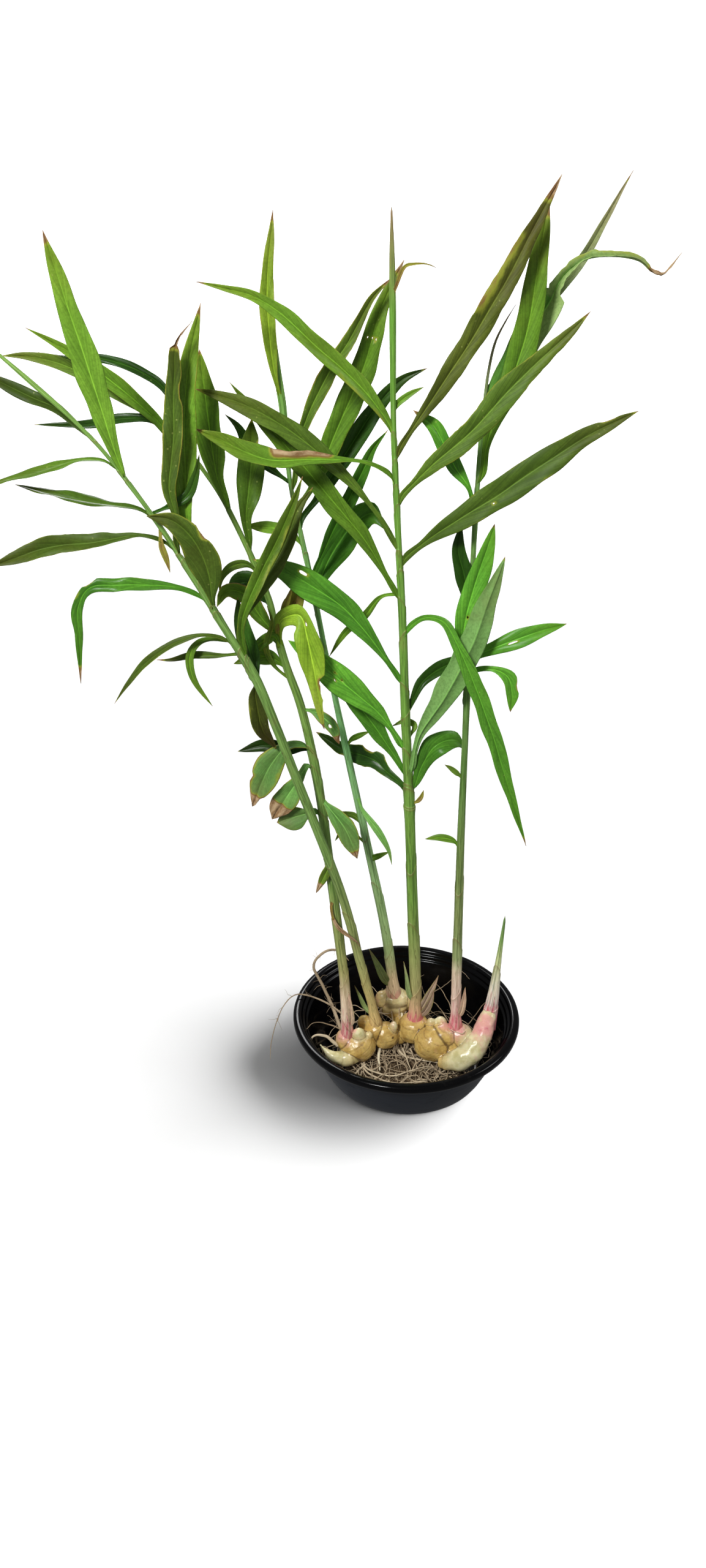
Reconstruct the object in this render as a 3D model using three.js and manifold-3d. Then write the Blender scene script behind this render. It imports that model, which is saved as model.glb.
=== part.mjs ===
// A lifted ginger plant standing in a plastic bowl: the knobbly root (rhizome) with its roots,
// six leafy shoots and their strap-shaped leaves. Units are millimetres, +Z is up, and the
// origin is the centre of the bowl's flat underside.

import * as THREE from 'three';
import { mergeVertices } from 'three/addons/utils/BufferGeometryUtils.js';
import Module from 'manifold-3d';

const wasm = await Module();
wasm.setup();

// ---- Driving dimensions ------------------------------------------------------------------

const BOWL_HEIGHT = 66;
const BOWL_RIM_RADIUS = 114; // outer edge of the rolled lip
const BOWL_BASE_RADIUS = 77; // flat underside
const BOWL_WALL = 2.4;
const BOWL_SEGMENTS = 56;

const GAP = 0.35; // air left between two pieces that touch in the real plant
const STEM_SIDES = 10;
const STEM_STEP = 34; // length of one tube segment along a stem
const ROOT_SIDES = 8;
const LEAF_STEP = 20; // length of one blade segment
const LEAF_THICKNESS = 1.4; // at the midrib, thinning to nothing at the edges
const LEAF_NECK = 3.6; // width where a blade leaves its stem
const KNOB_SEGMENTS = 16;

const point = ([x, y, z]) => new THREE.Vector3(x, y, z);
const plant = new THREE.Group();

function add(group, name, geometry, color, roughness) {
  const material = new THREE.MeshStandardMaterial({ color, roughness, metalness: 0 });
  const mesh = new THREE.Mesh(geometry, material);
  mesh.name = name;
  group.add(mesh);
}

// ---- Solids made of rings ----------------------------------------------------------------

// Skins a row of rings (each listed anticlockwise as seen from the far end) into one closed
// body. The near end is capped flat; the far end closes on a single tip point.
function ringSolid(rings, tip) {
  const sides = rings[0].length;
  const positions = rings.flat().concat(tip).flatMap((p) => [p.x, p.y, p.z]);
  const index = [];
  for (let k = 1; k < sides - 1; k += 1) {
    index.push(0, k + 1, k);
  }
  rings.slice(1).forEach((_, row) => {
    for (let k = 0; k < sides; k += 1) {
      const next = (k + 1) % sides;
      const low = row * sides;
      const high = low + sides;
      index.push(low + k, low + next, high + next, low + k, high + next, high + k);
    }
  });
  const last = (rings.length - 1) * sides;
  for (let k = 0; k < sides; k += 1) {
    index.push(last + k, last + ((k + 1) % sides), rings.length * sides);
  }
  const geometry = new THREE.BufferGeometry();
  geometry.setAttribute('position', new THREE.Float32BufferAttribute(positions, 3));
  geometry.setIndex(index);
  return geometry;
}

// A round stalk through stations [x, y, z, radius] that ends in a point.
function stalk(stations, sides, step) {
  const curve = new THREE.CatmullRomCurve3(stations.map(point), false, 'centripetal');
  const rows = Math.max(3, Math.round(curve.getLength() / step));
  const side = new THREE.Vector3(1, 0, 0);
  const rings = [];
  for (let row = 0; row < rows; row += 1) {
    const t = row / rows;
    const centre = curve.getPoint(t);
    const along = curve.getTangent(t);
    side.addScaledVector(along, -side.dot(along)).normalize();
    const across = along.clone().cross(side);
    const radius = radiusAt(stations, t);
    const ring = [];
    for (let k = 0; k < sides; k += 1) {
      const angle = (2 * Math.PI * k) / sides;
      ring.push(
        centre
          .clone()
          .addScaledVector(side, radius * Math.cos(angle))
          .addScaledVector(across, radius * Math.sin(angle)),
      );
    }
    rings.push(ring);
  }
  return { curve, stations, geometry: ringSolid(rings, curve.getPoint(1)) };
}

function radiusAt(stations, t) {
  const place = t * (stations.length - 1);
  const low = Math.min(Math.floor(place), stations.length - 2);
  return THREE.MathUtils.lerp(stations[low][3], stations[low + 1][3], place - low);
}

function toManifold(geometry) {
  const bare = geometry.clone();
  bare.deleteAttribute('normal');
  bare.deleteAttribute('uv');
  const merged = mergeVertices(bare, 1e-4);
  const vertProperties = new Float32Array(merged.attributes.position.array);
  const triVerts = new Uint32Array(merged.index.array);
  return new wasm.Manifold(new wasm.Mesh({ numProp: 3, vertProperties, triVerts }));
}

function toGeometry(solid) {
  const mesh = solid.getMesh();
  const geometry = new THREE.BufferGeometry();
  geometry.setAttribute('position', new THREE.BufferAttribute(mesh.vertProperties, 3));
  geometry.setIndex(new THREE.BufferAttribute(mesh.triVerts, 1));
  return geometry;
}

// ---- The bowl ----------------------------------------------------------------------------

// One moulded shell: flat base, flaring wall, two small steps inside the mouth, rolled lip.
const bowlProfile = [
  [0, 0],
  [BOWL_BASE_RADIUS, 0],
  [BOWL_BASE_RADIUS + 5, 3],
  [BOWL_RIM_RADIUS - 9, BOWL_HEIGHT - 9],
  [BOWL_RIM_RADIUS - 1.5, BOWL_HEIGHT - 8.5],
  [BOWL_RIM_RADIUS, BOWL_HEIGHT - 6.5],
  [BOWL_RIM_RADIUS, BOWL_HEIGHT - 2.5],
  [BOWL_RIM_RADIUS - 1.5, BOWL_HEIGHT - 0.4],
  [BOWL_RIM_RADIUS - 4, BOWL_HEIGHT],
  [BOWL_RIM_RADIUS - 7.5, BOWL_HEIGHT - 1],
  [BOWL_RIM_RADIUS - 9, BOWL_HEIGHT - 4.5],
  [BOWL_RIM_RADIUS - 11.5, BOWL_HEIGHT - 5.5],
  [BOWL_RIM_RADIUS - 12.5, BOWL_HEIGHT - 10],
  [BOWL_BASE_RADIUS + 2.5, BOWL_WALL + 3],
  [BOWL_BASE_RADIUS - 2, BOWL_WALL],
  [0, BOWL_WALL],
].map(([radius, height]) => new THREE.Vector2(radius, height));

const bowl = new THREE.LatheGeometry(bowlProfile, BOWL_SEGMENTS);
bowl.rotateX(Math.PI / 2);
add(plant, 'bowl', bowl, 0x15171b, 0.25);

// ---- The shoots --------------------------------------------------------------------------

// Each shoot is one stalk through stations [x, y, z, radius], thick and pale where it leaves
// its knob and drawn out to a rolled young leaf at the top.
const shoots = {
  pink: [
    [-59, -27, 48, 8.5],
    [-60, -27, 78, 6.8],
    [-62, -26, 122, 5],
    [-69, -22, 190, 4.8],
    [-77, -15, 262, 4.5],
    [-86, -12, 338, 4.2],
    [-100, -8, 408, 3.9],
    [-116, -5, 458, 3.4],
    [-123, -2, 495, 2.9],
    [-136, 0, 531, 2.5],
    [-160, 0, 585, 2],
    [-180, 0, 615, 1.6],
    [-200, 2, 640, 0.8],
  ],
  leaning: [
    [-29, -14, 50, 8],
    [-34, -15, 81, 6.1],
    [-46, -19, 136, 5.3],
    [-61, -26, 210, 5],
    [-80, -33, 277, 5],
    [-105, -39, 356, 4.9],
    [-133, -48, 445, 4.4],
    [-150, -51, 479, 3.4],
    [-186, -57, 549, 2.5],
    [-212, -60, 594, 2],
    [-244, -62, 640, 1.8],
    [-283, -62, 679, 2.6],
    [-325, -62, 717, 0.8],
  ],
  slim: [
    [-11, 35, 54, 8],
    [-13, 34, 80, 5.8],
    [-22, 33, 147, 4.9],
    [-40, 32, 242, 4],
    [-62, 31, 355, 3.4],
    [-78, 30, 440, 2.5],
    [-91, 30, 513, 2.2],
    [-105, 30, 584, 2],
    [-110, 30, 649, 3.4],
    [-116, 30, 692, 3.8],
    [-119, 30, 730, 3.2],
    [-113, 30, 787, 0.6],
  ],
  tall: [
    [9, -8, 54, 9.5],
    [9, -8, 84, 6.8],
    [7, -8, 130, 5.8],
    [3, -8, 200, 5.4],
    [-2, -7, 300, 4.5],
    [-8, -6, 400, 4],
    [-12, -5, 480, 3.2],
    [-18, -2, 570, 2.3],
    [-22, 0, 640, 2],
    [-24, 0, 720, 1.6],
    [-26, 0, 792, 0.6],
  ],
  right: [
    [49, -22, 52, 8.2],
    [48, -21, 84, 5.8],
    [47, -20, 137, 4.9],
    [46, -19, 203, 4.3],
    [45, -16, 280, 3.7],
    [45, -11, 370, 3],
    [45, -3, 488, 2.5],
    [46, 4, 580, 2.1],
    [49, 8, 657, 1.6],
    [55, 8, 700, 1.2],
    [70, 8, 728, 0.5],
  ],
  spear: [
    [80, -19, 60, 7.4],
    [83, -16, 76, 6],
    [85, -16, 98, 5],
    [87, -16, 130, 3.4],
    [91, -16, 192, 0.6],
  ],
};

const stems = {};
for (const [name, stations] of Object.entries(shoots)) {
  stems[name] = { ...stalk(stations, STEM_SIDES, STEM_STEP), group: new THREE.Group() };
  plant.add(stems[name].group);
  add(stems[name].group, `stem_${name}`, stems[name].geometry, 0x6f9a45, 0.5);
}

// ---- The rhizome -------------------------------------------------------------------------

// The ginger root itself: fused knobs [x, y, z, half-widths x, y, z] and two pale fingers of
// new growth, joined in one solid. Sockets leave air round the foot of every shoot.
const knobs = [
  [-47, -26, 41, 18, 15, 14],
  [-61, -27, 44, 13, 12, 12],
  [-49, -22, 56, 8, 8, 8],
  [-22, -16, 40, 16, 14, 14],
  [-24, -14, 50, 11, 10, 9],
  [-11, -15, 51, 5, 5, 7],
  [-12, 38, 44, 18, 16, 14],
  [-11, 35, 54, 11, 10, 8],
  [7, -6, 43, 17, 17, 16],
  [22, -28, 39, 20, 16, 15],
  [42, -24, 40, 19, 15, 15],
  [52, -21, 47, 12, 11, 10],
  [35, -19, 55, 6, 6, 8],
  [27, -10, 50, 6, 6, 6],
  [-36, -2, 36, 16, 18, 12],
  [-6, 16, 36, 17, 20, 12],
];
const fingers = [
  [
    [-46, -38, 38, 12],
    [-60, -42, 40, 13],
    [-74, -40, 43, 9],
    [-82, -37, 47, 5],
    [-90, -33, 53, 1],
  ],
  [
    [38, -46, 36, 9],
    [52, -50, 37, 12],
    [66, -44, 40, 12],
    [74, -34, 46, 11],
    [78, -24, 54, 9.5],
    [81, -18, 64, 8],
  ],
];

function knob([x, y, z, a, b, c], swell = 0) {
  const ball = new THREE.SphereGeometry(1, KNOB_SEGMENTS, KNOB_SEGMENTS / 2);
  ball.scale(a + swell, b + swell, c + swell);
  ball.translate(x, y, z);
  return toManifold(ball);
}

function finger(stations, swell = 0) {
  const swollen = stations.map(([x, y, z, radius]) => [x, y, z, radius + swell]);
  return toManifold(stalk(swollen, STEM_SIDES, 9).geometry);
}

function rhizomeSolid(swell = 0) {
  const bodies = knobs.map((k) => knob(k, swell)).concat(fingers.map((f) => finger(f, swell)));
  return bodies.reduce((whole, body) => whole.add(body));
}

const sockets = Object.values(shoots).map((stations) => {
  const [x, y, z, radius] = stations[0];
  const foot = [x, y, z - GAP, radius + GAP];
  const wider = stations.slice(1).map(([a, b, c, r]) => [a, b, c, r + 3 * GAP]);
  return toManifold(stalk([foot, ...wider], STEM_SIDES, STEM_STEP).geometry);
});
const rhizome = sockets.reduce((body, socket) => body.subtract(socket), rhizomeSolid());
add(plant, 'rhizome', toGeometry(rhizome), 0xc9a25c, 0.45);

// ---- The roots ---------------------------------------------------------------------------

// The mat of fibrous roots under the knobs, as one mound hollowed where the knobs press in.
const MAT_CENTRE = [-2, -20, 18];
const MAT_SIZE = [62, 56, 19];
const MAT_FLOOR = BOWL_WALL + GAP;

const mound = new THREE.SphereGeometry(1, 24, 12);
mound.scale(...MAT_SIZE);
mound.translate(...MAT_CENTRE);
const floorBlock = new THREE.BoxGeometry(400, 400, 100);
floorBlock.translate(0, 0, MAT_FLOOR - 50);
const rootMat = toManifold(mound).subtract(toManifold(floorBlock)).subtract(rhizomeSolid(GAP));
add(plant, 'root_mat', toGeometry(rootMat), 0xb39a78, 0.8);

// Two long roots stand clear of the mat: one loops up behind the rim, one trails over it.
const freeRoots = {
  root_loop: [
    [-66, -6, 46, 2.2],
    [-76, 22, 56, 2],
    [-86, 28, 78, 1.8],
    [-94, 31, 100, 1.6],
    [-82, 38, 111, 1.6],
    [-68, 46, 106, 1.4],
    [-58, 48, 92, 0.6],
  ],
  root_long: [
    [-58, 0, 54, 1.6],
    [-78, 14, 62, 1.5],
    [-98, 20, 68, 1.2],
    [-113, 21, 69, 0.9],
    [-124, 14, 62, 0.8],
    [-133, 4, 44, 0.7],
    [-138, -4, 24, 0.6],
    [-139, -8, 8, 0.4],
  ],
};
for (const [name, stations] of Object.entries(freeRoots)) {
  add(plant, name, stalk(stations, ROOT_SIDES, 9).geometry, 0xd8c7a4, 0.7);
}

// ---- The leaves --------------------------------------------------------------------------

// Each leaf: the shoot it grows on, the height of its base, its greatest width, and the points
// its midrib passes through, base to tip. Options:
//   belly  where along the blade it is widest, 0 base to 1 tip
//   turn   way the upper face looks, in degrees at base and tip: 0 up, 90 front, -90 back
//   fold   depth of the gutter along the midrib, as a share of the width
//   tone   colour of the blade, where it isn't plain green
const TONES = { green: 0x568c2c, dark: 0x28491f, olive: 0x6d6a35, yellow: 0xa3ad4a, grey: 0x8a9f78 };
const leaves = {
  tall_left_1: ['tall', 640, 13, [[-45, -15, 668], [-85, -26, 704], [-120, -30, 732], [-166, -30, 744]],
    { belly: 0.35, turn: [60, 85], fold: 0.3 }],
  tall_left_2: ['tall', 601, 14.5, [[-42, -17, 614], [-80, -31, 620], [-117, -37, 621], [-146, -39, 632],
    [-172, -39, 644]], { belly: 0.66, turn: [45, 62], fold: 0.25 }],
  tall_left_3: ['tall', 549, 17, [[-36, -10, 575], [-70, -17, 613], [-103, -21, 640], [-137, -23, 659],
    [-172, -23, 670]], { belly: 0.62, turn: [70, 75] }],
  tall_left_4: ['tall', 507, 15.5, [[-42, -8, 548], [-68, -8, 580], [-98, -6, 616], [-125, -5, 645],
    [-148, -5, 672]], { turn: [75, 80], fold: 0.25 }],
  tall_left_5: ['tall', 432, 23, [[-34, -13, 462], [-64, -17, 498], [-94, -19, 520], [-115, -19, 532],
    [-134, -19, 538]], { belly: 0.6, turn: [75, 80] }],
  tall_left_6: ['tall', 370, 21, [[-28, -15, 397], [-54, -20, 424], [-82, -20, 449], [-108, -16, 468]],
    { belly: 0.58, turn: [70, 75] }],
  tall_left_7: ['tall', 345, 16, [[-27, -2, 371], [-45, -1, 397], [-61, 1, 422], [-78, 3, 445]],
    { tone: 'dark', turn: [75, 80] }],
  tall_left_8: ['tall', 325, 17, [[-24, 6, 334], [-36, 28, 336], [-60, 50, 334], [-88, 46, 354]],
    { tone: 'dark', turn: [65, 70] }],
  tall_right_1: ['tall', 621, 16, [[-6, -8, 641], [8, -10, 662], [34, -13, 702], [66, -16, 760],
    [92, -17, 812]], { tone: 'olive', turn: [85, 85] }],
  tall_right_2: ['tall', 584, 17.5, [[2, -14, 606], [36, -22, 638], [68, -25, 674], [98, -25, 703],
    [119, -25, 724]], { tone: 'olive', turn: [75, 80] }],
  tall_right_3: ['tall', 534, 19.5, [[12, -14, 557], [56, -24, 588], [100, -29, 621], [132, -29, 641],
    [161, -29, 655]], { turn: [70, 75] }],
  tall_right_4: ['tall', 475, 12.5, [[5, -17, 488], [18, -27, 490], [34, -38, 468], [52, -41, 426],
    [65, -41, 392], [82, -41, 340], [101, -41, 283]], { turn: [60, 90], fold: 0.2 }],
  tall_right_5: ['tall', 406, 12.5, [[8, 0, 426], [31, 10, 437], [58, 16, 443]],
    { tone: 'dark', turn: [50, 60], fold: 0.25 }],
  tall_right_6: ['tall', 347, 20, [[4, -19, 381], [22, -27, 418], [43, -31, 467], [58, -32, 515],
    [67, -32, 544]], { tone: 'grey', belly: 0.55, turn: [-95, -100] }],
  tall_right_7: ['tall', 328, 18, [[11, -10, 354], [23, -12, 372], [37, -3, 370], [49, 6, 355]],
    { belly: 0.5, turn: [70, 40] }],

  slim_1: ['slim', 590, 11, [[-95, 23, 630], [-76, 19, 670], [-55, 17, 702], [-39, 17, 730],
    [-24, 17, 744]], { tone: 'dark', turn: [80, 85], fold: 0.35 }],
  slim_2: ['slim', 567, 19.5, [[-86, 32, 587], [-68, 33, 628], [-46, 31, 676], [-31, 29, 724],
    [-15, 29, 755]], { turn: [85, 85] }],
  slim_3: ['slim', 557, 15, [[-78, 42, 581], [-54, 47, 617], [-35, 47, 645], [-17, 45, 665],
    [6, 43, 676]], { tone: 'dark', turn: [95, 95], fold: 0.25 }],
  slim_4: ['slim', 512, 11.5, [[-76, 24, 538], [-63, 20, 565], [-48, 16, 596], [-39, 14, 617],
    [-26, 12, 634]], { turn: [80, 85], fold: 0.4 }],
  slim_5: ['slim', 496, 25, [[-77, 38, 516], [-62, 41, 540], [-45, 42, 558], [-30, 38, 560],
    [-25, 32, 548]], { tone: 'dark', turn: [95, 70] }],
  slim_6: ['slim', 542, 12.5, [[-110, 22, 552], [-126, 15, 555], [-142, 10, 558]],
    { tone: 'dark', turn: [40, 50] }],

  right_1: ['right', 602, 18.5, [[53, 3, 630], [67, 2, 668], [78, 1, 710], [83, 0, 760],
    [87, 0, 800]], { turn: [90, 90] }],
  right_2: ['right', 656, 16, [[70, 15, 682], [82, 19, 704], [98, 19, 731], [111, 19, 754],
    [130, 19, 758], [150, 19, 760], [163, 19, 755], [178, 19, 746], [192, 19, 761]],
    { belly: 0.28, turn: [80, 30], fold: 0.4 }],
  right_3: ['right', 663, 6, [[74, 34, 688], [93, 42, 718], [120, 43, 752], [140, 40, 789],
    [154, 40, 815]], { tone: 'olive', turn: [80, 80], fold: 0.45 }],
  right_4: ['right', 449, 13, [[62, -15, 459], [81, -17, 468], [104, -17, 477], [124, -17, 483]],
    { turn: [60, 70] }],
  right_5: ['right', 445, 18.5, [[38, -17, 471], [43, -15, 502], [51, -13, 531], [56, -13, 550],
    [60, -12, 565]], { turn: [88, 92] }],
  right_6: ['right', 477, 13.5, [[42, -7, 505], [35, -3, 530], [31, -2, 550], [34, -2, 564]],
    { turn: [95, 95] }],
  right_7: ['right', 575, 13, [[40, -5, 590], [31, -5, 602], [16, -3, 628], [6, -1, 643],
    [-7, 0, 651]], { belly: 0.6, turn: [90, 60] }],
  right_8: ['right', 437, 11.5, [[60, -12, 440], [71, -15, 441], [81, -17, 430], [82, -17, 403]],
    { tone: 'dark', belly: 0.6, turn: [75, 95] }],

  leaning_1: ['leaning', 620, 17, [[-232, -68, 650], [-240, -72, 690], [-250, -75, 735],
    [-260, -76, 778]], { belly: 0.42, turn: [90, 90] }],
  leaning_2: ['leaning', 627, 11.5, [[-257, -66, 626], [-285, -70, 618], [-312, -72, 612],
    [-328, -74, 607]], { turn: [18, 18] }],
  leaning_3: ['leaning', 590, 12, [[-232, -62, 592], [-258, -64, 597], [-284, -62, 602],
    [-306, -60, 607]], { turn: [20, 18] }],
  leaning_4: ['leaning', 566, 14, [[-216, -64, 570], [-250, -68, 566], [-284, -70, 563],
    [-303, -72, 557], [-328, -76, 549]], { belly: 0.6, turn: [30, 75], fold: 0.3 }],
  leaning_5: ['leaning', 650, 10, [[-270, -54, 661], [-292, -50, 670], [-312, -48, 679],
    [-328, -46, 686]], { tone: 'olive', turn: [60, 65], fold: 0.25 }],
  leaning_6: ['leaning', 523, 9.5, [[-187, -59, 527], [-218, -63, 531], [-248, -65, 530],
    [-264, -66, 526], [-270, -67, 490], [-273, -67, 450]], { belly: 0.4, turn: [45, 85] }],
  leaning_7: ['leaning', 486, 8, [[-172, -58, 489], [-196, -60, 482], [-220, -62, 466],
    [-238, -64, 446], [-248, -64, 431]], { tone: 'olive', turn: [40, 50] }],
  leaning_8: ['leaning', 516, 20.5, [[-166, -63, 541], [-172, -66, 561], [-181, -68, 575],
    [-193, -69, 584], [-208, -70, 586]], { tone: 'olive', belly: 0.42, turn: [90, 90] }],
  leaning_9: ['leaning', 561, 12.5, [[-187, -62, 579], [-191, -61, 606], [-186, -58, 640],
    [-182, -57, 680], [-178, -57, 708], [-166, -57, 721]], { tone: 'olive', turn: [90, 90] }],
  leaning_10: ['leaning', 541, 15, [[-181, -51, 584], [-180, -47, 622], [-178, -45, 660],
    [-171, -43, 697], [-162, -43, 731]], { tone: 'olive', belly: 0.5, turn: [90, 90] }],
  leaning_11: ['leaning', 472, 11.5, [[-142, -60, 500], [-130, -54, 528], [-115, -48, 557],
    [-101, -44, 586], [-92, -42, 609]], { turn: [60, 80], fold: 0.3 }],
  leaning_12: ['leaning', 478, 13.5, [[-139, -46, 506], [-121, -38, 532], [-105, -31, 560],
    [-96, -27, 582], [-85, -25, 597]], { turn: [85, 85] }],

  pink_1: ['pink', 631, 11, [[-211, 2, 647], [-230, 1, 664], [-254, 0, 684], [-299, -4, 711]],
    { belly: 0.4, turn: [70, 75], fold: 0.25 }],
  pink_2: ['pink', 626, 10, [[-212, 14, 643], [-240, 16, 661], [-268, 18, 677], [-297, 18, 687],
    [-326, 18, 688]], { belly: 0.6, turn: [70, 75], fold: 0.25 }],
  pink_3: ['pink', 582, 18, [[-162, -9, 606], [-164, -12, 634], [-166, -14, 664], [-168, -16, 697]],
    { turn: [90, 90] }],
  pink_4: ['pink', 547, 19.5, [[-140, -2, 570], [-136, 2, 597], [-134, 6, 622], [-133, 8, 643]],
    { tone: 'dark', belly: 0.55, turn: [90, 90] }],
  pink_5: ['pink', 467, 20, [[-115, -16, 484], [-97, -27, 494], [-90, -34, 472], [-85, -36, 444],
    [-81, -38, 422], [-78, -38, 396]], { tone: 'yellow', belly: 0.42, turn: [80, 95] }],
  pink_6: ['pink', 370, 19, [[-105, -24, 377], [-119, -27, 366], [-132, -31, 344], [-143, -34, 319]],
    { tone: 'olive', belly: 0.6, turn: [30, 80] }],
  pink_7: ['pink', 352, 16.5, [[-100, -22, 343], [-111, -24, 328], [-127, -26, 302]],
    { belly: 0.6, turn: [60, 80] }],
  pink_8: ['pink', 306, 17, [[-95, -21, 306], [-108, -21, 301], [-122, -21, 296]],
    { belly: 0.6, turn: [70, 75] }],
};

// Full width of a blade a share u of the way along it.
function bladeWidth(u, width, belly) {
  const skew = Math.log(0.5) / Math.log(belly);
  const swell = Math.sin(Math.PI * Math.min(1, u) ** skew);
  const lens = width * swell ** (u < belly ? 1.4 : 1);
  return Math.max(lens, LEAF_NECK * (1 - 0.8 * u));
}

// The four corners of a blade's cross-section: midrib above, right edge, midrib below, left
// edge. The edges stand above the midrib by the fold.
function bladeRing(centre, along, turn, width, fold) {
  const angle = THREE.MathUtils.degToRad(turn);
  const look = new THREE.Vector3(0, -Math.sin(angle), Math.cos(angle));
  const right = along.clone().cross(look).normalize();
  const up = right.clone().cross(along);
  const corner = (across, above) =>
    centre.clone().addScaledVector(right, across).addScaledVector(up, above);
  const half = width / 2;
  const lift = Math.max(fold * width, 0.6);
  const skin = LEAF_THICKNESS / 2;
  return [corner(0, skin - lift / 2), corner(half, lift / 2), corner(0, -skin - lift / 2),
    corner(-half, lift / 2)];
}

function leafGeometry([stemName, height, width, midrib, options]) {
  const { belly = 0.48, turn = [90, 90], fold = 0.14 } = options;
  const { foot, outward, radius } = stemAt(stems[stemName], height, point(midrib[0]));
  const clear = radius + GAP + LEAF_NECK / 2;
  const start = foot.clone().addScaledVector(outward, clear);
  const curve = new THREE.CatmullRomCurve3([start, ...midrib.map(point)], false, 'centripetal');
  const rows = Math.max(4, Math.round(curve.getLength() / LEAF_STEP));
  const rings = [];
  for (let row = 0; row < rows; row += 1) {
    const u = row / rows;
    const twist = THREE.MathUtils.lerp(turn[0], turn[1], u);
    rings.push(bladeRing(curve.getPointAt(u), curve.getTangentAt(u), twist,
      bladeWidth(u, width, belly), fold));
  }
  return ringSolid(rings, curve.getPointAt(1));
}

// The place on a shoot at a height, and the level direction from it towards a point.
function stemAt(stem, height, towards) {
  let low = 0;
  let high = 1;
  for (let step = 0; step < 24; step += 1) {
    const middle = (low + high) / 2;
    if (stem.curve.getPoint(middle).z < height) {
      low = middle;
    } else {
      high = middle;
    }
  }
  const foot = stem.curve.getPoint(low);
  const along = stem.curve.getTangent(low);
  const outward = towards.clone().sub(foot);
  outward.addScaledVector(along, -outward.dot(along)).normalize();
  return { foot, outward, radius: radiusAt(stem.stations, low) };
}

for (const [name, leaf] of Object.entries(leaves)) {
  const [stemName, , , , { tone = 'green' }] = leaf;
  add(stems[stemName].group, `leaf_${name}`, leafGeometry(leaf), TONES[tone], 0.45);
}

export default plant;
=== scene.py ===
import math

import bmesh
import bpy
import numpy as np
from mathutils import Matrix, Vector, noise


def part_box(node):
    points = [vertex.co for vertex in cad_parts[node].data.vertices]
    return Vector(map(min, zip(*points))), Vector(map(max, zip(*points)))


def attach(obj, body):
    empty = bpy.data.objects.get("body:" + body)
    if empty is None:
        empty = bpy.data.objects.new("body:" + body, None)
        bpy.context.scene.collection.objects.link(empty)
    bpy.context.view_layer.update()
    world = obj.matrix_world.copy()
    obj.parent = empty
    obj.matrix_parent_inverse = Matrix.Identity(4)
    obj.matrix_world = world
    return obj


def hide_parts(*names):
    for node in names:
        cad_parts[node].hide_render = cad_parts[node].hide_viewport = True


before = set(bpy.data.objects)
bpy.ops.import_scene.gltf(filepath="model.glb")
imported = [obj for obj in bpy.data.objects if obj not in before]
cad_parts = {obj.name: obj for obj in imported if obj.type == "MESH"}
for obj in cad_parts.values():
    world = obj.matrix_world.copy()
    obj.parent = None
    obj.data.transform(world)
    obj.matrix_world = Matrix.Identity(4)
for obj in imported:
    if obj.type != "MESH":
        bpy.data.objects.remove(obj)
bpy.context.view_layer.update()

# ---- The bowl -----------------------------------------------------------------------------
# A shallow round bowl, injection moulded in black polypropylene about 2.4 mm thick. The lip
# is rolled outwards over the wall, and the inside steps in twice just below it.

MM = 0.001


class Value:
    """One socket of a finish, so that sums over the surface read as ordinary Python."""

    def __init__(self, finish, socket):
        self.finish, self.socket = finish, socket

    def _math(self, operation, first, second=None, clamp=False):
        settings = {"operation": operation, "use_clamp": clamp}
        return self.finish.node("ShaderNodeMath", settings, [first, second])

    def __add__(self, other):
        return self._math("ADD", self, other)

    def __sub__(self, other):
        return self._math("SUBTRACT", self, other)

    def __rsub__(self, other):
        return self._math("SUBTRACT", other, self)

    def __mul__(self, other):
        return self._math("MULTIPLY", self, other)

    __radd__ = __add__
    __rmul__ = __mul__

    def size(self):
        return self._math("ABSOLUTE", self)

    def most(self, other):
        return self._math("MAXIMUM", self, other)

    def held(self):
        """The same value, kept between 0 and 1."""
        return self._math("ADD", self, 0.0, clamp=True)

    def step(self, low, high):
        """0 below low, 1 above high, and a soft ramp between."""
        settings = {"interpolation_type": "SMOOTHSTEP", "clamp": True}
        values = {"Value": self, "From Min": low, "From Max": high}
        return self.finish.node("ShaderNodeMapRange", settings, values)


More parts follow.
